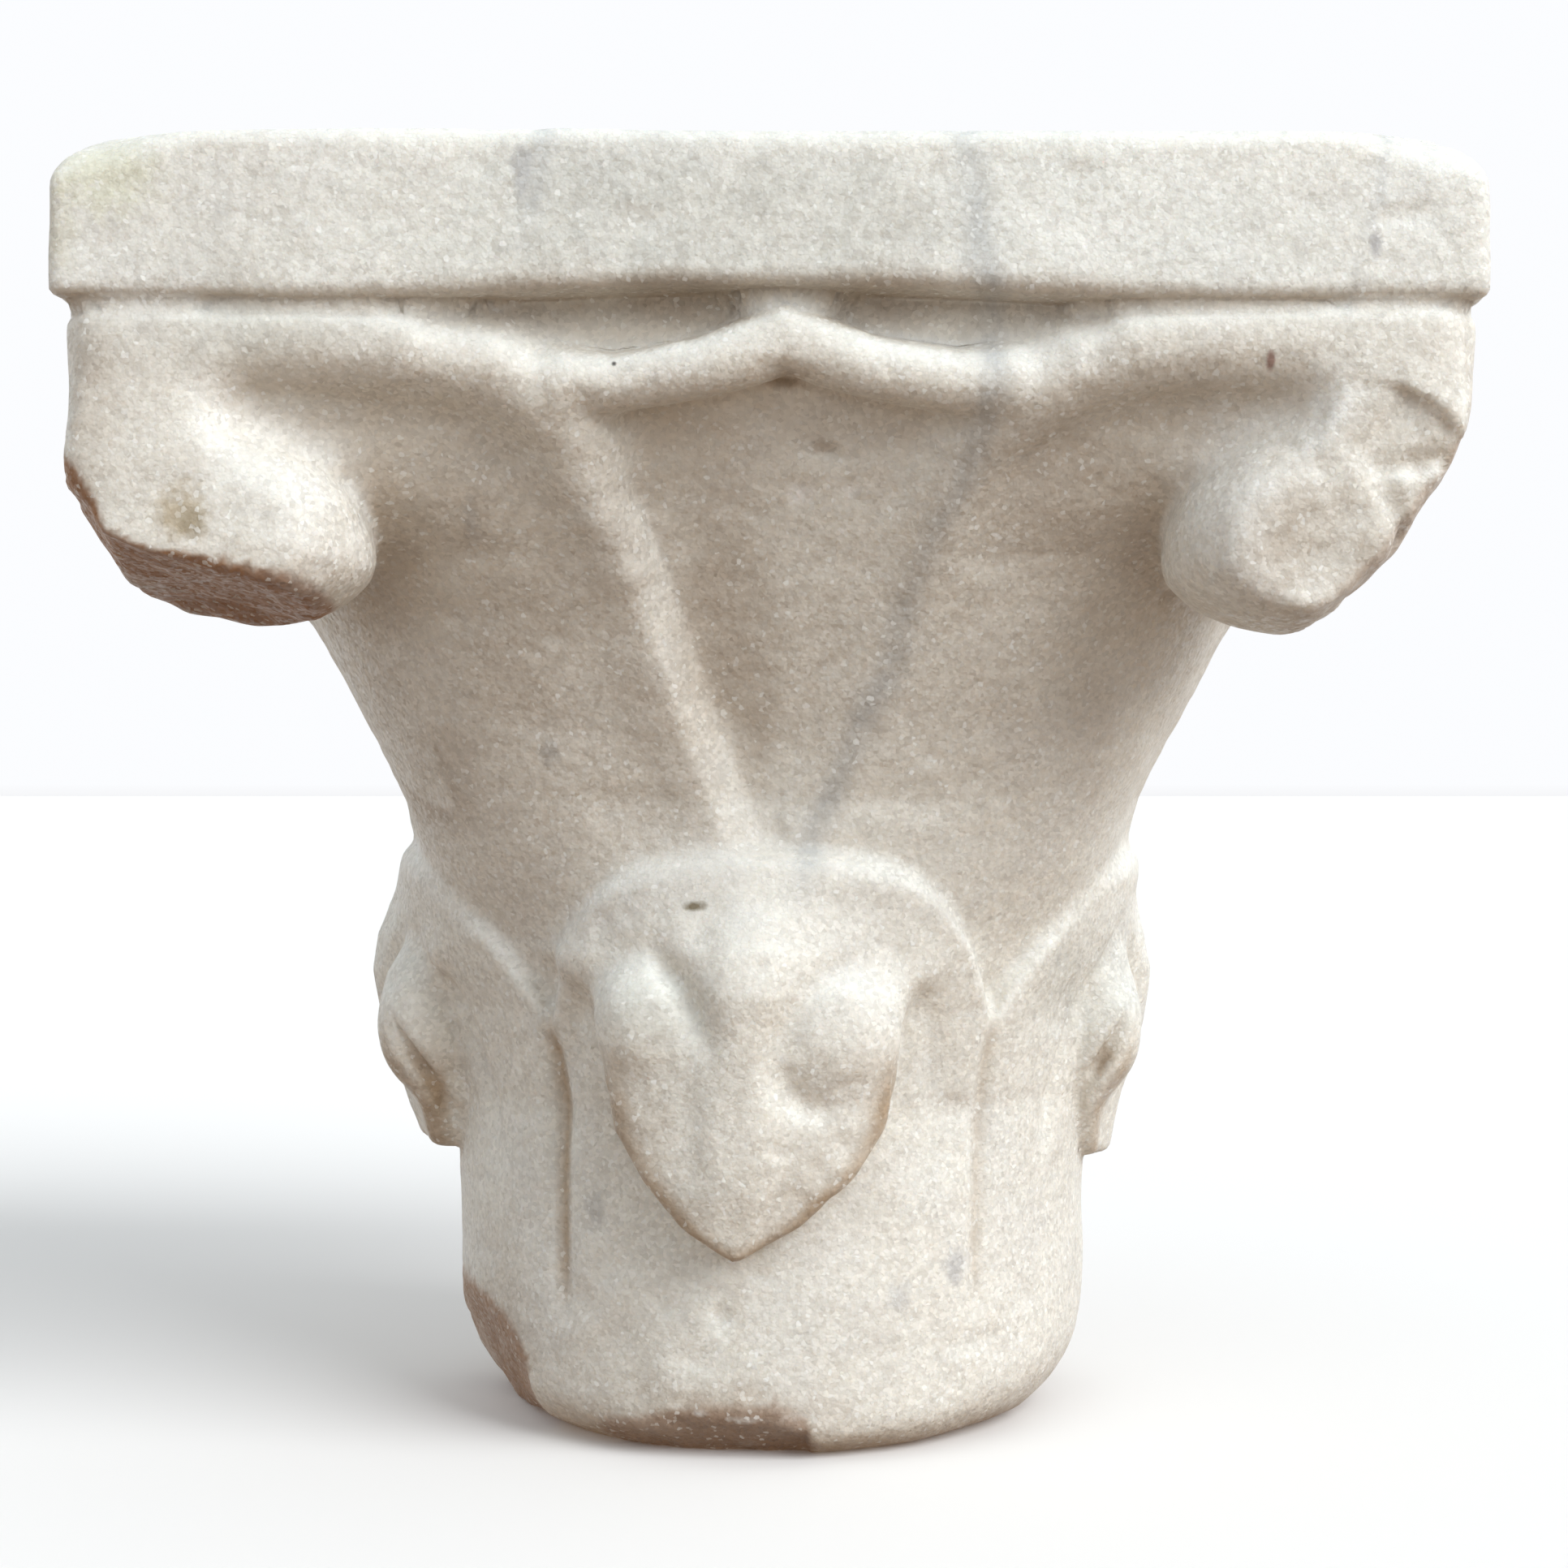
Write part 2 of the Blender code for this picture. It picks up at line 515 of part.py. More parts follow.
def apply_modifiers(block):
    graph = bpy.context.evaluated_depsgraph_get()
    mesh = bpy.data.meshes.new_from_object(block.evaluated_get(graph))
    block.modifiers.clear()
    block.data = mesh


def marble():
    material = bpy.data.materials.new("white marble")
    material.use_nodes = True
    shader = material.node_tree.nodes["Principled BSDF"]
    shader.inputs["Base Color"].default_value = MARBLE_COLOUR
    shader.inputs["Roughness"].default_value = MARBLE_ROUGHNESS
    shader.inputs["Metallic"].default_value = 0
    return material


def main():
    for old in list(bpy.data.objects):
        bpy.data.objects.remove(old)
    collection = bpy.data.collections.new("romanesque_capital")
    bpy.context.scene.collection.children.link(collection)
    capital = bpy.data.objects.new("capital", round_block())
    collection.objects.link(capital)
    push_in(capital.data)

    for voxel in STONE_VOXELS:
        remesh = capital.modifiers.new("even stone", "REMESH")
        remesh.mode = "VOXEL"
        remesh.voxel_size = voxel
        apply_modifiers(capital)
        settle(capital.data)

    thin = capital.modifiers.new("thin", "DECIMATE")
    thin.ratio = STONE_TRIANGLES / (2 * len(capital.data.polygons))
    apply_modifiers(capital)
    true_faces(capital.data)
    capital.data.shade_smooth()
    capital.data.materials.append(marble())


main()
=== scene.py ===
import math

import bpy
import numpy as np
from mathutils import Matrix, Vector


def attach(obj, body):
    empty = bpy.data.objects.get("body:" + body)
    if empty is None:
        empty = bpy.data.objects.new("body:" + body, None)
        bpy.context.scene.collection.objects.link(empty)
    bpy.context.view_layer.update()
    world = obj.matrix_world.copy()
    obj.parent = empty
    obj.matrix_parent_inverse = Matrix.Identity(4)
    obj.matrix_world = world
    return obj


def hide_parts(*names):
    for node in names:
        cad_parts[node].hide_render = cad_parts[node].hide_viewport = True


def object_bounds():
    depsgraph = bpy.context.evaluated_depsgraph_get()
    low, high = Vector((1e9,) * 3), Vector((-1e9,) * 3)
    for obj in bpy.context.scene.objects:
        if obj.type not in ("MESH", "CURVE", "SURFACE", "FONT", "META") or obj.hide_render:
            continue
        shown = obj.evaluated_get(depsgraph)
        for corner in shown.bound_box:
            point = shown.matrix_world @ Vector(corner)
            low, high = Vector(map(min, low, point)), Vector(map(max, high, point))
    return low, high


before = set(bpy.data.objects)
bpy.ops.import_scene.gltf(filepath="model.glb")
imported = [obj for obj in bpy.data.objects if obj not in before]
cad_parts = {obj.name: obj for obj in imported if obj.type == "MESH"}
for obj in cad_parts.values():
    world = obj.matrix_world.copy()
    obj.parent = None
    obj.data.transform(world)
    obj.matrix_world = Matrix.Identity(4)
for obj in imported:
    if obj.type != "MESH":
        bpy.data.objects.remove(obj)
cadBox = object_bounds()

# One block of weathered white marble. The form below is written in millimetres, in the frame's own place:
# across runs to the right over a face seen from outside, out runs away from the axis, and z is the height.
mm = 0.001
front, right, back, left = range(4)
blockTop = cadBox[1].z / mm
blockHalf = (cadBox[1].x - cadBox[0].x) / mm / 2


# Ways to put forms together. A form is below zero inside the stone and above zero outside it.

def byHeight(table, z):
    heights, values = zip(*table)
    return np.interp(z, heights, values)


def fuse(a, b, reach):
    share = np.clip(0.5 + 0.5 * (b - a) / reach, 0, 1)
    return b * (1 - share) + a * share - reach * share * (1 - share)


def trim(a, b, reach):
    return -fuse(-a, -b, reach)


def ease(value, start, end):
    share = np.clip((value - start) / (end - start), 0, 1)
    return share * share * (3 - 2 * share)


def roundedBox(gapX, gapY, radius):
    pastX, pastY = gapX + radius, gapY + radius
    outside = np.hypot(np.maximum(pastX, 0), np.maximum(pastY, 0))
    return outside + np.minimum(np.maximum(pastX, pastY), 0) - radius


# distance to a chain of knots on a face: across, z, out at the crest, half thickness
def bar(knots, across, out, z):
    nearest = np.full(across.shape, np.inf)
    knots = [np.array((wide, height, crest - half, half)) for wide, height, crest, half in knots]
    for start, end in zip(knots, knots[1:]):
        run = end[:3] - start[:3]
        offset = np.stack((across - start[0], z - start[1], out - start[2]))
        share = np.clip(run @ offset / run.dot(run), 0, 1)
        gap = np.sqrt(((offset - run[:, None] * share) ** 2).sum(0))
        nearest = np.minimum(nearest, gap - (start[3] + share * (end[3] - start[3])))
    return nearest


def facePlace(x, y):
    onY = np.abs(y) >= np.abs(x)
    face = np.where(onY, np.where(y < 0, front, back), np.where(x > 0, right, left))
    across = np.choose(face, (x, y, -x, -y))
    return face, across, np.maximum(np.abs(x), np.abs(y))


# Smooth noise from a seeded lattice, between -1 and 1. Grain is the size of its lumps in millimetres.
latticeSide = 32
lattice = np.random.default_rng(11).uniform(-1, 1, (latticeSide,) * 3)


def softNoise(p, grain, seed):
    place = p / grain + seed * 7.31
    cell = np.floor(place).astype(int)
    part = place - cell
    part = part * part * (3 - 2 * part)
    total = 0
    for corner in np.ndindex(2, 2, 2):
        weight = np.prod(np.where(corner, part, 1 - part), axis=1)
        at = (cell + corner) % latticeSide
        total = total + weight * lattice[at[:, 0], at[:, 1], at[:, 2]]
    return total


# Abacus
abacus = {
    "low": 222.8,  # underside at the corners
    "lift": 3.2,  # how much higher it is cut at mid-face
    "liftHalf": 80,
    "corner": 3.5,
    "edge": 3.0,
    "topCornerWear": 11,
    "wornFrom": 8,  # how far above its underside the corners begin to be worn
    "wornBeyond": 0.77,
    "fillet": 1.5,
    "lineDepth": 1.3,  # fine line cut under each end
    "lineHalf": 1.5,
    "lineStart": (58, 76),
}


def abacusForm(across, x, y, z):
    side = roundedBox(np.abs(x) - blockHalf, np.abs(y) - blockHalf, abacus["corner"])
    low = abacus["low"] + abacus["lift"] * np.clip(1 - (across / abacus["liftHalf"]) ** 2, 0, 1)
    rise = np.abs(z - (blockTop + low) / 2) - (blockTop - low) / 2
    nearTop = ease(z, abacus["low"] + abacus["wornFrom"], blockTop)
    nearCorner = ease(np.minimum(np.abs(x), np.abs(y)), abacus["wornBeyond"] * blockHalf, blockHalf)
    return roundedBox(side, rise, abacus["edge"] + abacus["topCornerWear"] * nearTop * nearCorner)


def abacusLine(across, z):
    beyond = ease(np.abs(across), *abacus["lineStart"])
    return abacus["lineDepth"] * beyond * np.exp(-(((z - abacus["low"]) / abacus["lineHalf"]) ** 2))


# Bell, with the gore hollowed into each face between two rims
bell = {
    "half": (
        (75, 67.5), (90, 70.5), (105, 73.5), (121, 76.3), (133, 79.0), (145, 84.0),
        (165, 93.8), (185, 104.8), (198, 111.0), (206, 115.5), (212, 118.0), (222, 119.0),
    ),
    "corner": (
        (75, 67.5), (90, 70.8), (105, 76.5), (117, 83.0), (128, 88.0), (150, 99.0),
        (170, 109.5), (180, 117.5), (190, 135.0), (200, 149.0), (210, 154.5), (222, 155.0),
    ),
    "rimAcross": ((117, 5.0), (127, 6.8), (151, 15.2), (180, 25.2), (193.5, 30.5), (203, 35.5), (212, 44)),
    "ridge": 2.7,  # how proud the rim is of the leaf
    "ridgeHalf": 9.5,
    "ridgeFrom": (108, 124),
    "ridgeTo": (200, 214),
    "goreDepth": ((118, 0.0), (128, 2.6), (150, 3.6), (190, 4.0), (203, 3.0), (210, 0.6)),
    "goreShift": np.array((3.0, -1.0, 1.5, -1.5)),
    # left and right of each face: how far out the rim lies, how much of it is left, and its wall's width
    "rimOut": np.array(((6.3, 0.0), (4.0, 3.5), (2.5, 3.0), (4.5, 2.0))),
    "ridgeLeft": np.array(((1.0, 0.45), (0.8, 0.9), (0.6, 0.8), (0.9, 0.7))),
    "wallWide": np.array(((8.0, 10.0), (9.0, 9.0), (10.0, 9.0), (9.0, 10.0))),
    "wallPower": np.array(((1.3, 1.6), (1.5, 1.5), (1.6, 1.5), (1.5, 1.6))),  # low where its edge is crisp
    # what is left of the gore's depth, from its left rim to its right rim
    "goreFloor": ((0.15, 1.0), (0.5, 0.3), (0.9, 0.0)),
}


def bellForm(face, across, x, y, z):
    half, corner = byHeight(bell["half"], z), byHeight(bell["corner"], z)
    power = 1 / np.maximum(0.5 - np.log2(np.maximum(corner / half, 1.0)), 0.05)
    far, near = np.maximum(np.abs(x), np.abs(y)) + 1e-6, np.minimum(np.abs(x), np.abs(y)) + 1e-6
    core = far * (1 + (near / far) ** power) ** (1 / power) - half
    place = across - bell["goreShift"][face]
    hand = (place > 0).astype(int)
    middle = byHeight(bell["rimAcross"], z)
    inside = middle + bell["rimOut"][face, hand] - np.abs(place)
    lower = ease(z, *bell["ridgeFrom"]) * (1 - ease(z, *bell["ridgeTo"]))
    ridge = bell["ridge"] * bell["ridgeLeft"][face, hand]
    wall = np.clip(inside / bell["wallWide"][face, hand], 0, 1) ** bell["wallPower"][face, hand]
    outer = np.exp(-((np.minimum(inside, 0) / bell["ridgeHalf"]) ** 2))
    floor = byHeight(bell["goreFloor"], 0.5 + 0.5 * place / middle)
    return core - lower * ridge * outer * (1 - wall) + byHeight(bell["goreDepth"], z) * wall * floor


# Corner leaves: the rim from the lower leaf up and out to the corner, the lip between two rims, the volute
cornerLeaf = {
    "rim": (
        (24.5, 178, 102.5, 4.0), (31.0, 193.5, 113.5, 6.2), (38.5, 203, 120.0, 6.8),
        (45.0, 208.5, 123.8, 7.2), (54.0, 213.2, 125.4, 7.6), (70.0, 215.8, 126.6, 7.7),
        (98.0, 216.5, 127.4, 7.8),
    ),
    "rimTurn": (188, 206),
    "wornTo": (195, 210),
    "shiftTo": (50, 90),  # the leaves of a face lie evenly again beyond this
    "rimFillet": 4.0,
    "bandFillet": 7,
    "rimWorn": np.array(((0.0, 1.8), (0.4, 0.0), (0.8, 0.2), (0.0, 0.6))),  # left and right rim of each face
    "shoulder": ((67, 217.5, 126.8, 6.0), (82, 218.5, 128.0, 6.5), (112, 218.5, 128.6, 6.5)),
    "shoulderFillet": 4,
    "lip": (
        (0, 219.4, 126.8, 4.6), (15, 213.2, 126.0, 4.5), (31, 210.0, 124.4, 4.3), (40, 210.4, 124.0, 4.6),
    ),
    "lipBelow": (
        (0, 214.8, 126.4, 4.4), (15, 211.6, 125.6, 4.2), (31, 209.4, 124.0, 4.2), (40, 209.6, 123.4, 4.4),
    ),
    "web": ((-3, 220.5, 120.5, 4.5), (3, 220.5, 120.5, 4.5)),  # stone left behind the lip's peak
    "lipFillet": 4.0,
    "endCentre": 115.5,
    "endRadius": 13,
    "endLow": 203,
    "endDrop": 28,
    "endPower": 2.8,
    "endFillet": 10,
    "faces": 129,  # the leaves lie a little inside the abacus
}
volute = {
    "centre": 103.5, "z": 179, "radius": 29.5, "rise": 27.5, "drop": 14.5, "flat": 128.4, "edge": 4,
    "fillet": 4, "upperFillet": 10, "upperAt": (185, 198),
}


def leafBars(form, face, across, out, z):
    place = across - bell["goreShift"][face] * (1 - ease(np.abs(across), *cornerLeaf["shiftTo"]))
    hand = (place > 0).astype(int)
    turned = ease(z, *cornerLeaf["rimTurn"])
    worn = cornerLeaf["rimWorn"][face, hand] * (1 - ease(z, *cornerLeaf["wornTo"]))
    aside = np.abs(place) - bell["rimOut"][face, hand] * (1 - turned)
    fillet = cornerLeaf["rimFillet"] + (cornerLeaf["bandFillet"] - cornerLeaf["rimFillet"]) * turned
    form = fuse(form, bar(cornerLeaf["rim"], aside, out + worn, z), fillet)
    form = fuse(form, bar(cornerLeaf["shoulder"], np.abs(across), out, z), cornerLeaf["shoulderFillet"])
    for part, where in (("web", place), ("lip", np.abs(place)), ("lipBelow", np.abs(place))):
        form = fuse(form, bar(cornerLeaf[part], where, out, z), cornerLeaf["lipFillet"])
    return form


def lump(x, y, z, centre, radius, low, high, rise, drop, power):
    up = np.maximum(z - high, 0) / rise + np.maximum(low - z, 0) / drop
    parts = (np.abs(np.abs(x) - centre) / radius, np.abs(np.abs(y) - centre) / radius, up)
    return (sum(part ** power for part in parts) ** (1 / power) - 1) * min(radius, drop)


def leafEndForm(x, y, z):
    low, high, drop = cornerLeaf["endLow"], abacus["low"], cornerLeaf["endDrop"]
    shape = cornerLeaf["endCentre"], cornerLeaf["endRadius"], low, high, drop, drop
    return lump(x, y, z, *shape, cornerLeaf["endPower"])


def voluteForm(x, y, z):
    shape = volute["centre"], volute["radius"], volute["z"], volute["z"], volute["rise"], volute["drop"]
    flats = roundedBox(np.abs(x) - volute["flat"], np.abs(y) - volute["flat"], volute["edge"])
    return trim(lump(x, y, z, *shape, 2), flats, volute["edge"])


def cornerForm(form, x, y, z):
    form = fuse(form, leafEndForm(x, y, z), cornerLeaf["endFillet"])
    fillet = volute["fillet"] + (volute["upperFillet"] - volute["fillet"]) * ease(z, *volute["upperAt"])
    form = fuse(form, voluteForm(x, y, z), fillet)
    faces = roundedBox(np.abs(x) - cornerLeaf["faces"], np.abs(y) - cornerLeaf["faces"], volute["edge"])
    return trim(form, faces, 2)


# Lower leaves, one to a face, with a crease between two of them. Front and back leaves are narrower.
lowerLeaf = {
    "frontHalf": math.radians(38),
    "notch": 89.5,
    "rise": 33.5,
    "archPower": 3.4,
    "steepness": 1.3,
    "edge": 5,
    "out": ((0, 69.5), (45, 69.5), (70, 70.5), (90, 74.8), (105, 80.0), (116, 82.5), (124, 83.0)),
    "fillet": 2.2,
    "crease": 2.2,
    "rightCrease": 1.2,  # it is worn fainter at the front right
    "creaseHalf": 2.3,
    "creaseFoot": (22, 36),
    "creaseTop": (80, 90),
}


# how far round its leaf a point lies, from the middle at 0 to the edge at 1, and the leaf's half angle
def leafPlace(x, y):
    turn = np.arctan2(np.abs(x), np.abs(y))
    narrow = turn < lowerLeaf["frontHalf"]
    wide = np.where(narrow, lowerLeaf["frontHalf"], math.pi / 2 - lowerLeaf["frontHalf"])
    return np.where(narrow, turn, math.pi / 2 - turn) / wide, wide


def creaseShare(x, y, z, half):
    share, wide = leafPlace(x, y)
    gap = (1 - share) * wide * np.hypot(x, y) / half
    return ease(z, *lowerLeaf["creaseFoot"]) * (1 - ease(z, *lowerLeaf["creaseTop"])) * np.exp(-(gap ** 2))


def lowerLeafForm(x, y, z):
    share, _ = leafPlace(x, y)
    crease = np.where((x > 0) & (y < 0), lowerLeaf["rightCrease"], lowerLeaf["crease"])
    body = np.hypot(x, y) - byHeight(lowerLeaf["out"], z)
    body = body + crease * creaseShare(x, y, z, lowerLeaf["creaseHalf"])
    arch = z - lowerLeaf["notch"] - lowerLeaf["rise"] * (1 - share ** lowerLeaf["archPower"])
    return trim(body, arch / lowerLeaf["steepness"], lowerLeaf["edge"])


# Folded tip of a lower leaf: a thick tongue with a midrib, and a boss on each flank with a hollow round it.
# Its places across are taken from the tip's own middle.
foldedTip = {
    "out": (
        (40, 71.5), (50, 74.5), (58, 77.5), (70, 82.0), (83, 86.2), (95, 88.2), (103, 86.8), (110, 83.5),
        (117, 79.5), (124, 76.0),
    ),
    "half": (
        (40, -3.0), (43.2, 3.0), (49, 12.0), (58.6, 21.0), (68, 26.8), (78, 29.2), (88, 29.8), (95, 33.0),
        (103, 40.0), (120, 40.0),
    ),
    "round": ((84, 62), (95, 42), (105, 34)),
    "edge": 2.2,
    "softEdge": 7,
    "softFillet": 8,
    "softAt": (86, 102),  # above this it grows out of the leaf
    "lean": ((40, 3.6), (50, 2.0), (60, 0.6), (70, 0.0)),
    "leanShare": np.array((-1.0, 0.4, 0.7, -0.3)),
    "thick": np.array((5.5, 0.0, 2.0, 0.0)),  # how much thicker its point is on each face
    "thickAt": (52, 84),
    "fillet": 1.2,
    "shift": np.array((-3.7, 1.0, 2.0, -1.0)),
    "worn": np.array((0.0, 5.0, 3.0, 0.0)),
    "wornFrom": (40, 70),
    "wornTo": (110, 122),
    "brokenAt": np.array((0.0, 54.5, 0.0, 57.0)),
    "midrib": ((46, -3.8), (60, -2.8), (75, -2.2), (88, -2.2), (98, -1.0), (110, 1.0), (120, 2.0)),
    "midribHalf": 8.0,
    "midribProud": 2.0,
    "midribTo": (108, 122),
    # across, z, depth
    "deepHollow": (
        (31, 98, 1.0), (26, 102.5, 1.8), (19.5, 103.5, 2.8), (15.5, 98.7, 4.0), (11.5, 92.8, 3.4),
        (9.0, 86.9, 1.8), (6.5, 80.4, 0.2),
    ),
    "wornHollow": (
        (33.8, 102, 0.6), (25, 102.5, 1.2), (17.5, 100.5, 1.4), (10.5, 94.9, 1.5), (5.6, 88.5, 1.7),
        (4.4, 82.2, 1.7), (6.0, 77.6, 1.7), (9.8, 73.8, 1.7), (13.6, 72.8, 1.3), (17.5, 75.2, 0.3),
    ),
    "hollowHalf": 3.2,
    "flankGroove": ((30.5, 88, 84, 1.0), (30.5, 80, 80, 1.8), (29, 72, 75.5, 2.0), (25, 64, 70.5, 1.8)),
    "marginGroove": (
        (27, 105, 1.0), (32, 97, 2.0), (35.5, 88, 2.4), (37, 78, 2.4), (38.5, 66, 1.6), (39, 56, 0.2),
    ),
    "marginHalf": 2.8,
    "marginDepth": np.array((0.35, 1.0, 0.7, 1.0)),
    "marginOut": 84,  # what lies further out is the tip, not the leaf beside it
}
# across, z and out, then half width, height and depth, on the left and right flank of each face
bosses = {
    "left": np.array(((-21.6, 90.0, 77.0, 9.0, 10.0, 8.0),) + ((-21.5, 84, 75.5, 10.5, 14.5, 10.0),) * 3),
    "right": np.array(((16.4, 87.0, 76.6, 11.5, 13.0, 9.0),) + ((21.5, 84, 75.5, 10.5, 14.5, 10.0),) * 3),
    "fillet": 3.5,
}


# how deep a soft groove is at a place on a face
def grooved(path, half, across, z):
    cut = np.zeros(across.shape)
    path = [np.array(knot, float) for knot in path]
    for start, end in zip(path, path[1:]):
        run = end - start
        share = ((across - start[0]) * run[0] + (z - start[1]) * run[1]) / (run[0] ** 2 + run[1] ** 2)
        share = np.clip(share, 0, 1)
        gap = np.hypot(across - start[0] - share * run[0], z - start[1] - share * run[1])
        cut = np.maximum(cut, (start[2] + share * run[2]) * np.exp(-((gap / half) ** 2)))
    return cut


def foldedTipForm(face, across, out, z):
    place = across - foldedTip["shift"][face] - byHeight(foldedTip["lean"], z) * foldedTip["leanShare"][face]
    aside = np.abs(place)
    worn = foldedTip["worn"][face] * ease(z, *foldedTip["wornFrom"]) * (1 - ease(z, *foldedTip["wornTo"]))
    crest = byHeight(foldedTip["out"], z) - worn
    crest = crest + foldedTip["thick"][face] * (1 - ease(z, *foldedTip["thickAt"]))
    fromRib = (place - byHeight(foldedTip["midrib"], z)) / foldedTip["midribHalf"]
    rib = foldedTip["midribProud"] * np.exp(-(fromRib ** 4))
    crest = crest + rib * (1 - ease(z, *foldedTip["midribTo"]))
    isWornSide = (face == front) & (place > 0)
    deep = grooved(foldedTip["deepHollow"], foldedTip["hollowHalf"], aside, z) * (1 - isWornSide)
    soft = grooved(foldedTip["wornHollow"], foldedTip["hollowHalf"], place, z) * (face == front)
    hollow = np.maximum(deep, soft)
    tip = out - crest + place ** 2 / (2 * byHeight(foldedTip["round"], z)) + hollow
    edge = foldedTip["edge"] + (foldedTip["softEdge"] - foldedTip["edge"]) * ease(z, *foldedTip["softAt"])
    tip = trim(tip, aside - byHeight(foldedTip["half"], z), edge)
    values = np.where((place < 0)[:, None], bosses["left"][face], bosses["right"][face]).T
    parts = (place - values[0]) / values[3], (z - values[1]) / values[4], (out + worn - values[2]) / values[5]
    boss = (np.sqrt(sum(part ** 2 for part in parts)) - 1) * values[3]
    tip = fuse(tip, boss, bosses["fillet"])
    tip = trim(tip, -bar(foldedTip["flankGroove"], aside, out + worn, z), 1.5)
    return trim(tip, foldedTip["brokenAt"][face] - z, foldedTip["edge"])


# Wear and breaks. A break is a point on the broken plane, the way the lost stone lay, how far it reaches,
# how soft its edge is worn and how brown it has become.
wornFoot = {
    "bed": 50, "neck": 70.5, "narrowing": 0.6,
    "tall": 30, "tallMean": 0.66, "tallSwing": 0.34,  # its height, and how that changes round the foot
    "aboveIt": -1.0, "steepness": 4,
}
breaks = {
    "leftVoluteBelow": ((-104, -108, 173.2), (-0.26, -0.17, -0.95), 56, 0.8, 1.0),
    "leftVoluteSide": ((-121.5, -108, 179.0), (-0.82, -0.12, -0.56), 42, 1.0, 1.0),
    "backLeftVolute": ((-116, 104, 176), (-0.66, 0.0, -0.75), 44, 5.0, 0.0),
    "backRightVolute": ((116, 104, 176), (0.66, 0.0, -0.75), 44, 5.0, 0.0),
    "rightVoluteSide": ((122.0, -106, 188.0), (0.80, -0.10, -0.59), 44, 6.0, 0.35),
    "rightVoluteBelow": ((110.3, -104, 173.2), (0.62, -0.10, -0.78), 48, 3.0, 0.2),
    "rightVoluteFront": ((105, -124.5, 185), (0.08, -0.985, -0.14), 36, 1.5, 0.0),
    "footLeft": ((-65.5, -14, 20), (-0.84, -0.26, -0.48), 52, 1.2, 0.8),
    "footFront": ((-16, -62.0, 4), (-0.05, -0.50, -0.86), 36, 1.5, 0.6),
}


def wornFootForm(x, y, z):
    tall = wornFoot["tall"] * (wornFoot["tallMean"] + wornFoot["tallSwing"] * np.cos(2 * np.arctan2(y, x)))
    narrow = (wornFoot["neck"] - wornFoot["bed"]) * (1 - tall / wornFoot["tall"]) * wornFoot["narrowing"]
    foot = wornFoot["bed"] + narrow
    up = np.clip((tall - z) / tall, 0, 1)
    worn = np.hypot(x, y) - foot - (wornFoot["neck"] - foot) * np.sqrt(1 - up ** 2)
    # above the wear it has to fall away, or it would hide the slope of the other forms inside the stone
    return np.where(z < tall, worn, wornFoot["aboveIt"] - wornFoot["steepness"] * (z - tall))


# grain and height of the lumps on broken stone, and how much of its reach a break has in full
ragged = ((13, 1.0), (6, 0.5))
fullReach = 0.67


def breakForm(p, name, lumps):
    point, way, reach, _, _ = breaks[name]
    way = np.array(way) / np.linalg.norm(way)
    offset = p - np.array(point)
    depth = offset @ way + lumps
    aside = np.linalg.norm(offset - np.outer(depth, way), axis=1)
    return depth - blockTop * ease(aside, reach * fullReach, reach)


def raggedLumps(p):
    return sum(height * softNoise(p, grain, 40 + i) for i, (grain, height) in enumerate(ragged))


# Small damage on the front: across, z, depth along each cut, and its half width
frontCuts = (
    (((107, 197, 0.3), (112, 193.5, 1.3), (119, 194.5, 1.6), (127, 196, 1.2)), 2.0),
    (((108, 195, 0.4), (112.5, 188, 1.2), (116.5, 179, 1.0)), 1.8),
    (((-3.0, 211.0, 0.2), (2, 211.6, 0.9), (8, 210.2, 0.2)), 1.2),
)


def stoneForm(p):
    x, y, z = p.T
    face, across, out = facePlace(x, y)
    form = leafBars(bellForm(face, across, x, y, z), face, across, out, z)
    form = cornerForm(form, x, y, z)
    form = fuse(form, lowerLeafForm(x, y, z), lowerLeaf["fillet"])
    soft = ease(z, *foldedTip["softAt"])
    fillet = foldedTip["fillet"] + (foldedTip["softFillet"] - foldedTip["fillet"]) * soft
    form = fuse(form, foldedTipForm(face, across, out, z), fillet)
    aside = np.abs(across - foldedTip["shift"][face])
    margin = grooved(foldedTip["marginGroove"], foldedTip["marginHalf"], aside, z)
    form = form + margin * foldedTip["marginDepth"][face] * (out < foldedTip["marginOut"])
    form = trim(form, wornFootForm(x, y, z), 2)
    form = fuse(form, abacusForm(across, x, y, z), abacus["fillet"]) + abacusLine(across, z)
    lumps = raggedLumps(p)
    for name, (_, _, _, edge, _) in breaks.items():
        form = trim(form, breakForm(p, name, lumps), edge)
    for path, half in frontCuts:
        form = form + grooved(path, half, across, z) * (face == front)
    return np.maximum(form, np.maximum(z - blockTop, -z))


# The stone's mesh: the frame's own solid, remeshed finely, settled onto the form and weathered, then thinned
# where it is flat
carving = {
    "voxel": 1.3, "quickVoxel": 3.0, "rounds": 7, "relaxRounds": 4, "relax": 0.5, "longestMove": 1.6,
    "triangles": 190000,
}


def readPoints(mesh):
    flat = np.empty(len(mesh.vertices) * 3, np.float32)
    mesh.vertices.foreach_get("co", flat)
    return flat.reshape(-1, 3).astype(float) / mm


def writePoints(mesh, points):
    mesh.vertices.foreach_set("co", (points * mm).astype(np.float32).ravel())
    mesh.update()


def readEdges(mesh):
    flat = np.empty(len(mesh.edges) * 2, np.int32)
    mesh.edges.foreach_get("vertices", flat)
    return flat.reshape(-1, 2)


def normalsOf(mesh):
    flat = np.empty(len(mesh.vertices) * 3, np.float32)
    mesh.vertex_normals.foreach_get("vector", flat)
    return flat.reshape(-1, 3).astype(float)


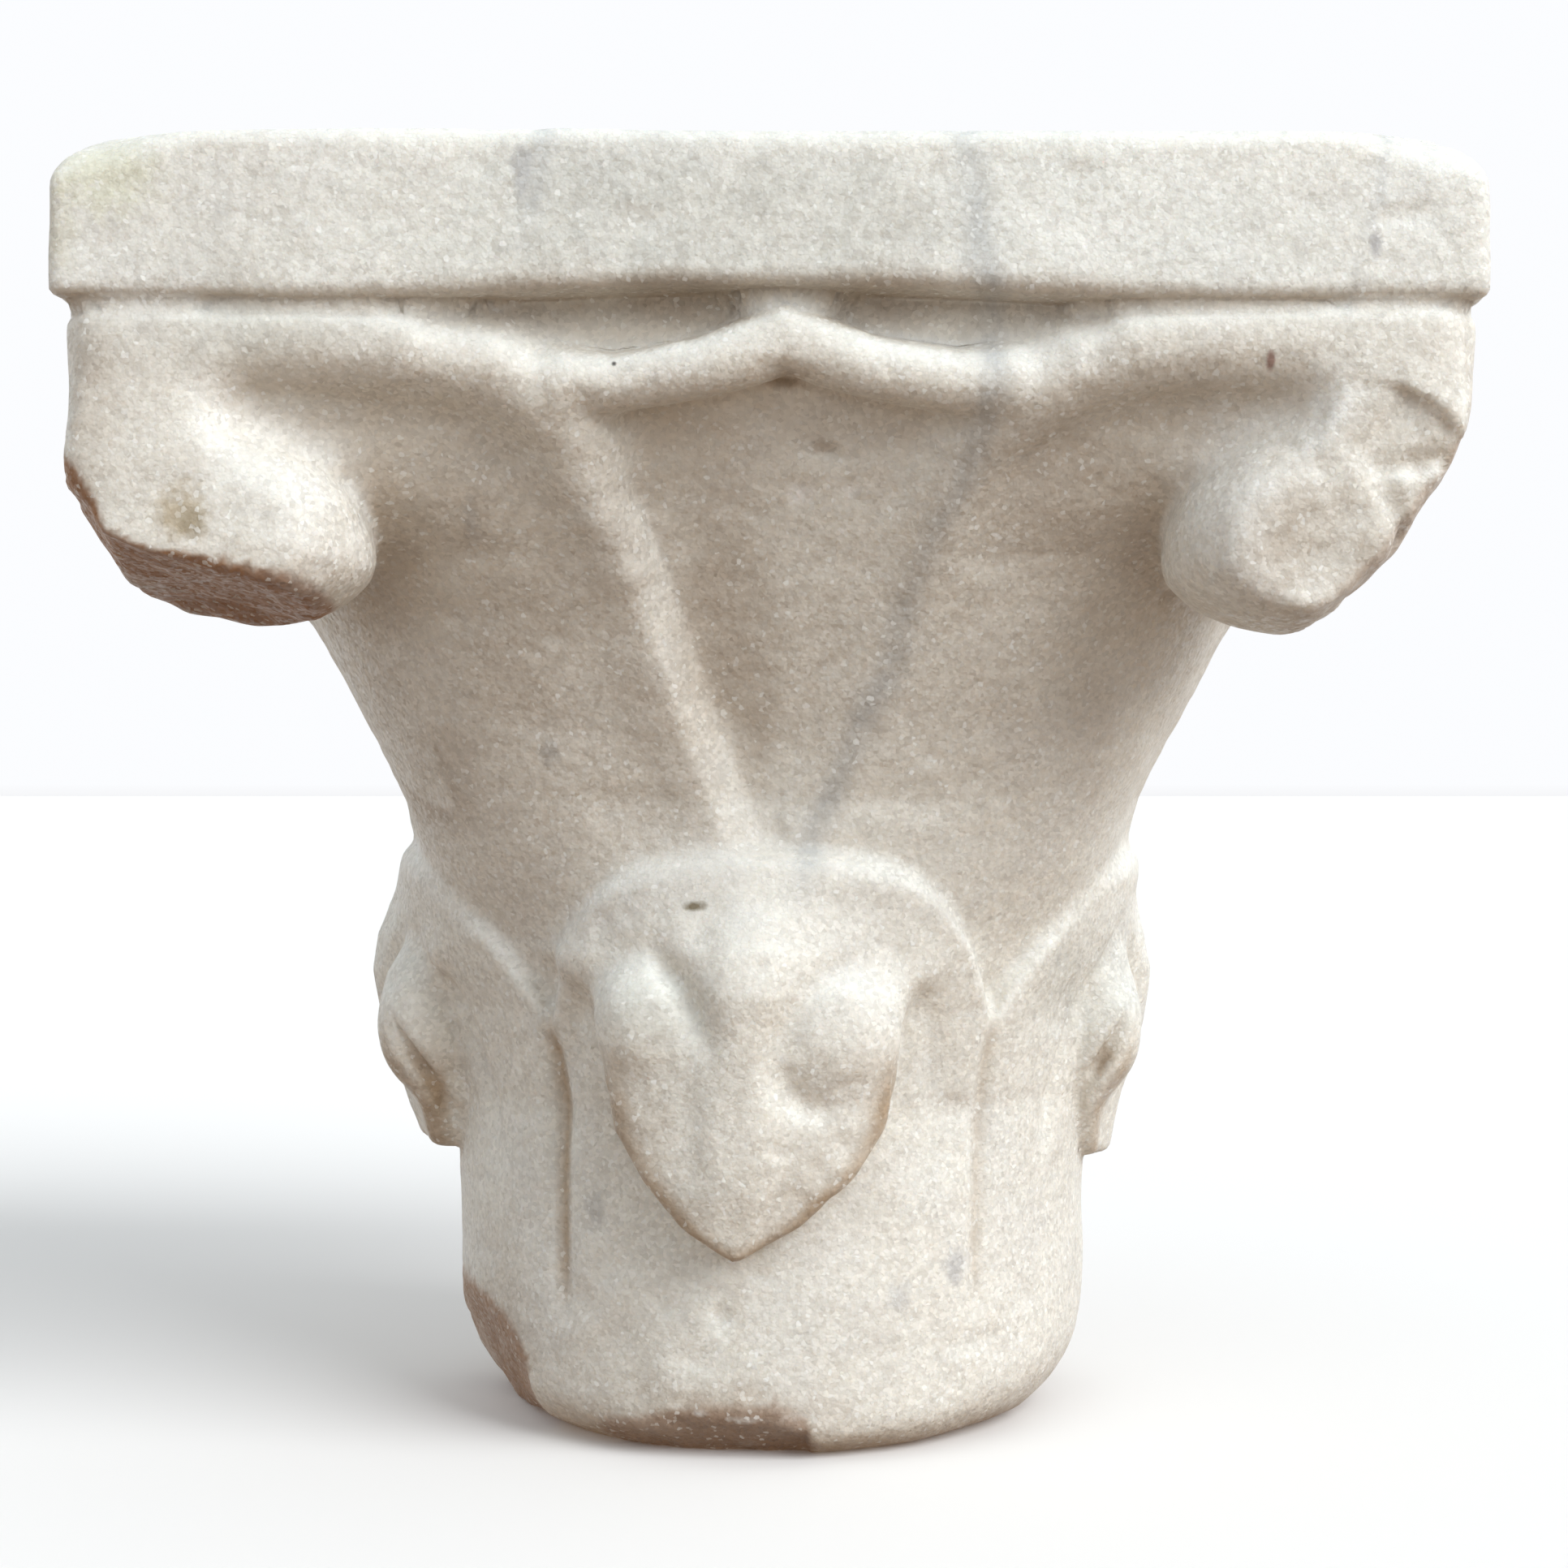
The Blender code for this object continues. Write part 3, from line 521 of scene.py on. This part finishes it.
def relaxed(points, edges, strength):
    ends, others = np.concatenate((edges[:, 0], edges[:, 1])), np.concatenate((edges[:, 1], edges[:, 0]))
    count = np.bincount(ends, minlength=len(points))
    middle = np.column_stack([np.bincount(ends, points[others, i], len(points)) for i in range(3)])
    return points + strength * (middle / count[:, None] - points)


def slopeOf(points, value, step=0.2):
    return np.column_stack([stoneForm(points + shift) - value for shift in np.eye(3) * step]) / step


def settle(mesh):
    points, edges = readPoints(mesh), readEdges(mesh)
    for turn in range(carving["rounds"]):
        if turn < carving["relaxRounds"]:
            points = relaxed(points, edges, carving["relax"])
        value = stoneForm(points)
        slope = slopeOf(points, value)
        move = slope * (value / np.maximum((slope ** 2).sum(1), 0.2))[:, None]
        length = np.linalg.norm(move, axis=1)
        points -= move * np.minimum(1, carving["longestMove"] / np.maximum(length, 1e-6))[:, None]
    writePoints(mesh, points)


def applyModifiers(piece):
    graph = bpy.context.evaluated_depsgraph_get()
    piece.data = bpy.data.meshes.new_from_object(piece.evaluated_get(graph))
    piece.modifiers.clear()


def carveStone():
    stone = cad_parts["capital"].copy()
    stone.data = stone.data.copy()
    stone.name = "carvedCapital"
    stone.data.materials.clear()
    bpy.context.scene.collection.objects.link(stone)
    remesh = stone.modifiers.new("fineStone", "REMESH")
    remesh.mode = "VOXEL"
    remesh.voxel_size = carving["voxel"] * mm
    applyModifiers(stone)
    settle(stone.data)
    return stone


def thinStone(stone):
    ratio = carving["triangles"] / (2 * len(stone.data.polygons))
    if ratio < 1:
        stone.modifiers.new("thin", "DECIMATE").ratio = ratio
        applyModifiers(stone)


# Surface: hand-cut unevenness, weathering, rough breaks. Grain and height in millimetres.
weather = {
    "uneven": ((42, 0.8), (19, 0.34), (9.5, 0.14), (4.6, 0.10), (2.7, 0.07)),
    "eroded": ((12, 0.2), (6, 0.12)),  # on the bell, in level streaks
    "streak": (1, 1, 2.3),
    "bellFrom": (112, 132),
    "bellTo": (196, 208),
    "rough": ((11, 0.6), (5.5, 0.4), (3.2, 0.25)),  # on the broken stone
    "pitGrain": 8,
    "pitStart": 0.62,
    "pitDepth": 0.5,
    "bedThick": 0.3,
    "bedShare": 0.25,  # the two beds are cut flatter
}
# Pits, pecks and worn dents on the front: across, z, half width, depth
dents = np.array((
    (8.0, 199.5, 1.7, 1.0), (11.6, 198.2, 1.5, 0.9), (-7.6, 189.6, 1.2, 0.5), (-4.4, 188.0, 1.1, 0.5),
    (-1.2, 187.0, 1.2, 0.5), (1.6, 188.6, 1.0, 0.4), (6.0, 191.0, 2.2, 0.4), (15.5, 191.4, 2.0, 0.4),
    (-38, 30, 4.0, 0.7), (-30, 24, 5.0, 0.8), (-22, 31, 3.5, 0.6), (-15, 21, 4.0, 0.7), (-26, 14, 4.0, 0.6),
    (-9, 29, 3.0, 0.5), (10, 60, 2.6, 0.6), (15, 65, 2.6, 0.6), (6, 54, 2.8, 0.7), (2, 64, 2.0, 0.4),
    (12, 54, 2.2, 0.5), (96, 240, 3.0, 0.4), (112, 246, 4.0, 0.6), (-50, 250, 5.0, 0.4),
))


# where the stone is broken, or how brown it is there when the surface's normals are given
def rawStone(p, normals=None):
    raw, lumps = np.zeros(len(p)), raggedLumps(p)
    for name, (_, way, _, _, stain) in breaks.items():
        near = np.abs(breakForm(p, name, lumps))
        if normals is None:
            share = 1 - ease(near, 0.5, 2.0)
        else:
            share = stain * (1 - ease(near, 1.8, 3.2)) * ease(normals @ way, 0.3, 0.6)
        raw = np.maximum(raw, share)
    return raw


def weatherStone(mesh):
    points, normals = readPoints(mesh), normalsOf(mesh)
    x, y, z = points.T
    face, across, _ = facePlace(x, y)
    raw = rawStone(points)
    lift = sum(height * softNoise(points, grain, i) for i, (grain, height) in enumerate(weather["uneven"]))
    level = points * np.array(weather["streak"])
    onBell = ease(z, *weather["bellFrom"]) * (1 - ease(z, *weather["bellTo"]))
    streaks = sum(h * softNoise(level, grain, 21 + i) for i, (grain, h) in enumerate(weather["eroded"]))
    lift += onBell * streaks
    lift += raw * sum(h * softNoise(points, grain, 9 + i) for i, (grain, h) in enumerate(weather["rough"]))
    pits = ease(softNoise(points, weather["pitGrain"], 17), weather["pitStart"], 0.95)
    lift -= weather["pitDepth"] * pits
    for place, height, half, depth in dents:
        gap = np.hypot(across - place, z - height) / half
        lift -= depth * (face == front) * np.exp(-(gap ** 2))
    bed = np.minimum(z, blockTop - z) < weather["bedThick"]
    lift[bed] *= weather["bedShare"]
    writePoints(mesh, points + normals * lift[:, None])


# What the material reads at each point of the mesh
# probes for the painted shade and dust in the hollows: how much stone lies out along each normal
hollowShadeProbe = ((3, 0.30), (7, 0.30), (14, 0.25), (26, 0.15))  # distance out and weight
edgeProbe = 2.6
veins = {
    # x by z at the front, half width and strength; each is a sheet through the block, seen again on the back
    "rim": (((118, 8), (138, 15), (168, 26.5), (196, 36.5), (212, 41), (222, 40), (254, 34)), 3.0, 0.75),
    "abacusLeft": (((236, -44), (244, -42.5), (254, -41)), 2.2, 0.6),
    "abacusRight": (((222, 103), (240, 110), (254, 112)), 1.3, 0.5),
}
veinWander = ((21, 2.2), (8, 1.2))  # grain and how far it wanders
creaseShadeHalf = 2.6  # half width of the painted shade in a crease
paintedUnderShade = {"level": 0.5, "slope": 0.9, "abacus": 0.25, "abacusLow": 222}  # painted shade, browner on what looks down
footLine = (1.0, 7.0)
# Brown washes, partly stains and partly painted shade (in the hollows under the abacus and on the gore's left
# side), and grey clouds, by place on a face: across, z, half width, half height, strength
washesAndShade = np.array((
    (-15, 192, 17, 16, 0.45), (-9, 169, 10, 25, 0.75), (-3, 146, 5, 13, 0.6), (57, 191, 20, 13, 0.65),
    (-59, 189, 18, 12, 0.5), (-50, 163, 13, 17, 0.4), (-70, 136, 12, 12, 0.9), (66, 146, 9, 15, 0.35),
    (-26, 71, 8, 12, 0.45), (-124, 205, 9, 16, 0.6), (-10, 9, 26, 9, 0.95), (90, 185, 10, 15, 0.6),
    (-57, 22, 9, 19, 0.6), (-30, 22, 15, 9, 0.35), (-17, 224, 15, 5, 0.95), (22, 224, 15, 5, 0.95),
    (-38, 223, 20, 6, 0.45), (44, 223, 20, 6, 0.45),
))
clouds = np.array((
    (-12, 238, 62, 17, 0.9), (-95, 218, 30, 8, 0.7), (-23, 93, 11, 9, 0.95), (-91, 190, 16, 14, 0.6),
    (69, 93, 14, 16, 0.8), (40, 246, 30, 8, 0.4), (-100, 232, 22, 8, 0.3), (84, 234, 20, 9, 0.3),
))
patchTorn = ((11, 0.14), (5, 0.10), (2.4, 0.08))  # grain and height of their ragged edges
otherSides = 0.6  # how much of them the sides and the back have


def storeShare(mesh, name, share):
    layer = mesh.attributes.new(name, "FLOAT", "POINT")
    layer.data.foreach_set("value", np.clip(share, 0, 1).astype(np.float32))


def veinShare(points):
    x, y, z = points.T
    wander = sum(far * softNoise(points, grain, 31 + i) for i, (grain, far) in enumerate(veinWander))
    total = np.zeros(len(points))
    for path, half, strength in veins.values():
        away = np.abs(x + 0.04 * (y + 120) - byHeight(path, z) + wander)
        seen = ease(z, path[0][0] - 10, path[0][0] + 6)
        total = np.maximum(total, strength * seen * np.exp(-((away / half) ** 2)))
    return total * np.clip(0.85 + 0.4 * softNoise(points, 12, 33) + 0.25 * softNoise(points, 4, 34), 0, 1.1)


def patchShare(points, patches):
    x, y, z = points.T
    face, across, _ = facePlace(x, y)
    isFront = (y < 0) & ((face == front) | (np.hypot(x, y) < 90))
    torn = sum(height * softNoise(points, grain, 50 + i) for i, (grain, height) in enumerate(patchTorn))
    share = np.zeros(len(points))
    for place, height, wide, tall, strength in patches:
        gap = np.hypot((np.where(isFront, x, across) - place) / wide, (z - height) / tall) + torn
        share = np.maximum(share, strength * (1 - ease(gap, 0.3, 1.3)))
    return share * np.where(isFront, 1, otherSides)


# the painted shadow along the lower edge of a folded tip
def tipLine(points):
    x, y, z = points.T
    face, across, out = facePlace(x, y)
    place = across - foldedTip["shift"][face] - byHeight(foldedTip["lean"], z) * foldedTip["leanShare"][face]
    gap = (np.abs(place) - byHeight(foldedTip["half"], z) + 1.2) / 3.0
    return np.exp(-(gap ** 2)) * (1 - ease(z, 72, 88)) * ease(z, 38, 42) * ease(out, 69, 72)


def markStone(mesh):
    points, normals = readPoints(mesh), normalsOf(mesh)
    z = points[:, 2]
    # painted shade and dust in the hollows: darker where stone lies out along the normal
    hollowShadeAndDust = 0
    for reach, weight in hollowShadeProbe:
        hollowShadeAndDust = hollowShadeAndDust + weight * np.clip(1 - stoneForm(points + normals * reach) / reach, 0, 1)
    storeShare(mesh, "hollowShadeAndDust", hollowShadeAndDust)
    storeShare(mesh, "edge", 1 + stoneForm(points - normals * edgeProbe) / edgeProbe)
    onAbacus = z > paintedUnderShade["abacusLow"]
    # painted shade: browner where the surface looks down, less on the abacus
    storeShare(mesh, "paintedUnderShade", paintedUnderShade["level"] - paintedUnderShade["slope"] * normals[:, 2] - paintedUnderShade["abacus"] * onAbacus)
    storeShare(mesh, "rawStone", rawStone(points, normals))
    storeShare(mesh, "vein", veinShare(points))
    storeShare(mesh, "washAndShade", patchShare(points, washesAndShade))
    storeShare(mesh, "cloud", patchShare(points, clouds))
    # painted shadow along the lower edge of each folded tip, and painted shade darkening the foot
    foot = (1 - ease(z + 1.5 * softNoise(points, 9, 35), *footLine)) * (z > 0.2)
    tip = tipLine(points) * (0.9 + 0.3 * softNoise(points, 8, 36))
    storeShare(mesh, "tipShadowAndFoot", np.maximum(tip, 0.85 * foot))


# Marble
marble = {
    "white": (0.865, 0.885, 0.84, 1),
    "cream": (0.815, 0.82, 0.77, 1),
    "grey": (0.70, 0.72, 0.72, 1),
    "veinBlue": (0.54, 0.57, 0.575, 1),
    # tint of the painted shade on what looks down
    "underShadeTint": (0.875, 0.80, 0.735, 1),
    # brown of the painted shade in hollows, creases, under the tips and at the foot, with their dust
    "dustAndShade": (0.58, 0.45, 0.33, 1),
    "rawBrown": (0.38, 0.18, 0.07, 1),
    # brown of the washes, partly stains and partly painted shade
    "washAndShadeBrown": (0.70, 0.635, 0.58, 1),
    "cloudGrey": (0.79, 0.80, 0.795, 1),
    "frost": (0.93, 0.945, 0.915, 1),
    "crystalsPerMetre": 1200,
    "roughness": (0.42, 0.72),
    "levelStreak": (1, 1, 2.3),
    "wobble": (0.0007, 0.0007, 0.0007),  # how far the crystals' edges wander, in metres
}
# Stains and flecks on the front, and painted shade in the pits (pitShade): x, z, half width, half height,
# ragged, strength, colour
stains = {
    "iron": (-105.3, 185.2, 6.0, 6.6, 0.7, 0.62, (0.40, 0.30, 0.15, 1)),
    "ironDark": (-103.5, 183.6, 3.0, 4.0, 0.7, 0.45, (0.24, 0.19, 0.11, 1)),
    "redFleck": (90.2, 212.6, 0.9, 2.2, 0.7, 0.75, (0.22, 0.07, 0.04, 1)),
    "dirtFleck": (-14.9, 112.6, 2.6, 1.3, 0.6, 0.9, (0.17, 0.13, 0.06, 1)),
    "blackDot": (-28, 212.6, 0.6, 0.6, 0.1, 0.9, (0.05, 0.045, 0.04, 1)),
    "smudgeTop": (-44, 246.5, 2.6, 6.0, 0.7, 0.5, (0.38, 0.39, 0.41, 1)),
    "smudgeRight": (108.5, 233.5, 1.8, 4.2, 0.6, 0.55, (0.36, 0.36, 0.39, 1)),
    "greySpotRight": (38, 38, 3.2, 5.2, 0.8, 0.5, (0.40, 0.40, 0.42, 1)),
    "greySpotLow": (26, 32.5, 3.4, 4.6, 0.8, 0.4, (0.42, 0.42, 0.43, 1)),
    "greySpotLeft": (-36, 49.7, 3.0, 5.5, 0.8, 0.4, (0.42, 0.42, 0.42, 1)),
    "greySpotPanel": (-43.5, 143, 2.6, 3.6, 0.7, 0.4, (0.32, 0.31, 0.30, 1)),
    "greySpotCove": (-56, 186, 2.2, 5.0, 0.7, 0.35, (0.33, 0.32, 0.31, 1)),
    "bruise": (6.0, 191.0, 3.4, 2.2, 0.9, 0.75, (0.92, 0.91, 0.87, 1)),
    "bruiseSmall": (15.5, 191.4, 2.4, 1.6, 0.9, 0.6, (0.92, 0.91, 0.87, 1)),
    # painted shade in the pits
    "pitShade": (9.5, 199.2, 3.6, 1.5, 0.7, 0.5, (0.34, 0.25, 0.17, 1)),
    "lipChip": (2.5, 210.4, 5.5, 1.5, 0.8, 0.55, (0.36, 0.26, 0.17, 1)),
    "lichen": (-119, 246, 13, 9, 0.7, 0.45, (0.66, 0.67, 0.47, 1)),
    "lichenLow": (-127, 236, 5, 9, 0.7, 0.3, (0.62, 0.60, 0.44, 1)),
}


def marbleMaterial():
    material = bpy.data.materials.new("weatheredMarble")
    material.use_nodes = True
    nodes, links = material.node_tree.nodes, material.node_tree.links
    shader = nodes["Principled BSDF"]

    def add(kind, values=(), **settings):
        node = nodes.new(kind)
        for key, value in settings.items():
            setattr(node, key, value)
        for key, value in dict(values).items():
            if isinstance(value, bpy.types.NodeSocket):
                links.new(value, node.inputs[key])
            else:
                node.inputs[key].default_value = value
        return node

    def noise(scale, detail=3, rough=0.55, at=None):
        values = {"Vector": at or place, "Scale": scale, "Detail": detail, "Roughness": rough}
        return add("ShaderNodeTexNoise", values).outputs["Fac"]

    def between(value, low, high, to=(0, 1)):
        return add("ShaderNodeMapRange", {0: value, 1: low, 2: high, 3: to[0], 4: to[1]}).outputs[0]

    def blend(share, a, b, kind="MIX"):
        mix = add("ShaderNodeMix", {0: share, 6: a, 7: b}, data_type="RGBA", blend_type=kind)
        return mix.outputs[2]

    def maths(a, b, operation="MULTIPLY"):
        return add("ShaderNodeMath", {0: a, 1: b}, operation=operation).outputs[0]

    def vector(a, b, operation):
        node = add("ShaderNodeVectorMath", {0: a, 1: b}, operation=operation)
        return node.outputs["Value" if operation in ("LENGTH", "DOT_PRODUCT") else 0]

    def attribute(name):
        return add("ShaderNodeAttribute", attribute_name=name).outputs["Fac"]

    place = add("ShaderNodeTexCoord").outputs["Object"]
    wobble = add("ShaderNodeTexNoise", {"Vector": place, "Scale": 700, "Detail": 1}).outputs["Color"]
    bent = vector(place, vector(wobble, marble["wobble"], "MULTIPLY"), "ADD")
    crystals = add("ShaderNodeTexVoronoi", {"Vector": bent, "Scale": marble["crystalsPerMetre"]})
    tone = add("ShaderNodeSeparateColor", {0: crystals.outputs["Color"]}).outputs

    # clouds of cream and grey in the white
    colour = blend(between(noise(14, 4), 0.40, 0.62), marble["white"], marble["cream"])
    colour = blend(between(noise(34, 4, 0.65), 0.50, 0.74, (0, 0.36)), colour, marble["grey"])
    colour = blend(between(noise(90, 3, 0.6), 0.56, 0.76, (0, 0.16)), colour, marble["frost"])
    cloudy = between(noise(75, 4, 0.7), 0.32, 0.62, (0.35, 1.0))
    colour = blend(maths(attribute("cloud"), cloudy), colour, marble["cloudGrey"], "MULTIPLY")
    colour = blend(attribute("vein"), colour, marble["veinBlue"])

    # painted shade: browner on what looks down and darker in the hollows, with their dust; washes, partly
    # stains and partly painted shade; a painted shadow under the folded tips and darker at the foot; bare
    # brown stone on the breaks
    level = vector(place, marble["levelStreak"], "MULTIPLY")
    mottle = between(noise(130, 3, 0.7, level), 0.30, 0.70, (0.80, 1.0))
    colour = blend(maths(attribute("paintedUnderShade"), mottle), colour, marble["underShadeTint"], "MULTIPLY")
    hollowShadeShare = between(attribute("hollowShadeAndDust"), 0.28, 0.90, (0, 0.66))
    colour = blend(maths(hollowShadeShare, mottle), colour, marble["dustAndShade"], "MULTIPLY")
    colour = blend(maths(attribute("washAndShade"), mottle), colour, marble["washAndShadeBrown"], "MULTIPLY")
    colour = blend(maths(attribute("tipShadowAndFoot"), mottle), colour, marble["dustAndShade"], "MULTIPLY")
    colour = blend(maths(attribute("rawStone"), 0.95), colour, marble["rawBrown"], "MULTIPLY")

    # painted shade in the creases between two lower leaves, stronger on the left
    turn = lowerLeaf["frontHalf"]
    sides = vector(place, (0, 0, 0), "ABSOLUTE")
    away = maths(vector(sides, (math.cos(turn), -math.sin(turn), 0), "DOT_PRODUCT"), 0, "ABSOLUTE")
    axes = add("ShaderNodeSeparateXYZ", {0: place}).outputs
    crease = maths(between(axes[2], 0.026, 0.038), between(axes[2], 0.092, 0.082))
    crease = maths(crease, between(away, creaseShadeHalf * mm, 0.2 * mm))
    crease = maths(maths(crease, between(axes[0], -mm, mm, (0.95, 0.4))), mottle)
    colour = blend(crease, colour, marble["dustAndShade"], "MULTIPLY")

    # frosted edges
    patchy = between(noise(120, 4, 0.65), 0.35, 0.62, (0.4, 1))
    frosted = maths(between(attribute("edge"), 0.18, 0.60), patchy)
    colour = blend(maths(frosted, 0.6), colour, marble["frost"])

    # stains and flecks of the front, and painted shade in the pits
    isFront = between(axes[1], -0.045, -0.050)
    torn = between(noise(420, 3, 0.6), 0.25, 0.75, (-1, 1))
    for x, z, wide, tall, rag, strength, tint in stains.values():
        offset = vector(place, (x * mm, 0, z * mm), "SUBTRACT")
        gap = vector(vector(offset, (1 / (wide * mm), 0, 1 / (tall * mm)), "MULTIPLY"), (0, 0, 0), "LENGTH")
        share = between(maths(gap, maths(torn, 0.45 * rag), "ADD"), 1.0, 0.35, (0, strength))
        colour = blend(maths(share, isFront), colour, tint)

    speck = maths(between(tone[0], 0, 1, (0.88, 1.08)), between(noise(330, 3, 0.6), 0.3, 0.7, (0.94, 1.05)))
    grained = add("ShaderNodeCombineColor", {0: speck, 1: speck, 2: speck}).outputs[0]
    colour = blend(1.0, colour, grained, "MULTIPLY")
    colour = blend(between(tone[1], 0.93, 0.97, (0, 0.45)), colour, marble["frost"])
    links.new(colour, shader.inputs["Base Color"])
    links.new(between(tone[1], 0.05, 0.9, marble["roughness"]), shader.inputs["Roughness"])

    # each crystal is a small facet, tilted its own way
    inCrystal = vector(bent, crystals.outputs["Position"], "SUBTRACT")
    tilt = vector(crystals.outputs["Color"], (0.5, 0.5, 0.5), "SUBTRACT")
    facet = vector(inCrystal, tilt, "DOT_PRODUCT")
    fine = add("ShaderNodeBump", {"Strength": 1.0, "Distance": 1.0, "Height": maths(facet, 0.35)})
    grit = {"Strength": 0.6, "Distance": 0.0008, "Height": noise(260, 3, 0.6), "Normal": fine.outputs[0]}
    links.new(add("ShaderNodeBump", grit).outputs[0], shader.inputs["Normal"])

    shader.inputs["Metallic"].default_value = 0
    shader.inputs["IOR"].default_value = 1.5
    shader.inputs["Subsurface Weight"].default_value = 0.25
    shader.inputs["Subsurface Radius"].default_value = (1.0, 0.8, 0.6)
    shader.inputs["Subsurface Scale"].default_value = 0.004
    return material


# Camera, light and floor, as for the photograph
camera = {"place": (0.00275, -0.62, 0.1366), "lens": 62.96, "sensor": 36}
light = {
    "ground": (0.28, 0.205, 0.15, 1),
    "horizon": (0.97, 0.98, 1.0, 1),
    "zenith": (0.62, 0.65, 0.66, 1),
    "horizonAt": (0.47, 0.50, 0.66, 0.80),
    "sunWay": (-0.66, 0.56, -0.58),
    "sun": 2.5,
    "sunAngle": math.radians(40),
}
floorLook = {"size": 60, "colour": (0.9, 0.9, 0.9, 1), "roughness": 0.9}


def placeCamera():
    data = bpy.data.cameras.new("photoCamera")
    data.sensor_width, data.lens, data.clip_start = camera["sensor"], camera["lens"], 0.01
    eye = bpy.data.objects.new("photoCamera", data)
    eye.location, eye.rotation_euler = camera["place"], (math.pi / 2, 0, 0)
    bpy.context.scene.collection.objects.link(eye)
    bpy.context.scene.camera = eye


def lightScene():
    world = bpy.data.worlds.new("paleStudio")
    world.use_nodes = True
    bpy.context.scene.world = world
    nodes, links = world.node_tree.nodes, world.node_tree.links
    way = nodes.new("ShaderNodeTexCoord")
    height = nodes.new("ShaderNodeSeparateXYZ")
    ramp = nodes.new("ShaderNodeValToRGB")
    stops = ramp.color_ramp.elements
    stops.new(light["horizonAt"][1])
    stops.new(light["horizonAt"][2])
    tones = light["ground"], light["horizon"], light["horizon"], light["zenith"]
    for stop, at, tone in zip(stops, light["horizonAt"], tones):
        stop.position, stop.color = at, tone
    half = nodes.new("ShaderNodeMath")
    half.operation = "MULTIPLY_ADD"
    half.inputs[1].default_value = half.inputs[2].default_value = 0.5
    links.new(way.outputs["Generated"], height.inputs[0])
    links.new(height.outputs[2], half.inputs[0])
    links.new(half.outputs[0], ramp.inputs[0])
    links.new(ramp.outputs[0], nodes["Background"].inputs["Color"])
    data = bpy.data.lights.new("softKey", "SUN")
    data.energy, data.angle = light["sun"], light["sunAngle"]
    sun = bpy.data.objects.new("softKey", data)
    sun.rotation_euler = Vector(light["sunWay"]).to_track_quat("-Z", "Y").to_euler()
    bpy.context.scene.collection.objects.link(sun)
    bpy.context.scene.view_settings.view_transform = "Standard"


def layFloor():
    bpy.ops.mesh.primitive_plane_add(size=floorLook["size"])
    floor = bpy.context.object
    floor.name = "paleFloor"
    material = bpy.data.materials.new("paleFloor")
    material.use_nodes = True
    inputs = material.node_tree.nodes["Principled BSDF"].inputs
    inputs["Base Color"].default_value = floorLook["colour"]
    inputs["Roughness"].default_value = floorLook["roughness"]
    floor.data.materials.append(material)
    floor.visible_diffuse = False  # the stone's shade stays as warm as out of doors


placeCamera()
lightScene()
layFloor()
print("camera, light and floor placed")

capital = carveStone()
print("stone carved:", len(capital.data.vertices), "points")
weatherStone(capital.data)
thinStone(capital)
markStone(capital.data)
capital.data.shade_smooth()
capital.data.materials.append(marbleMaterial())
print("surface weathered:", len(capital.data.polygons), "faces")

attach(capital, "root")
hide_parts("capital")
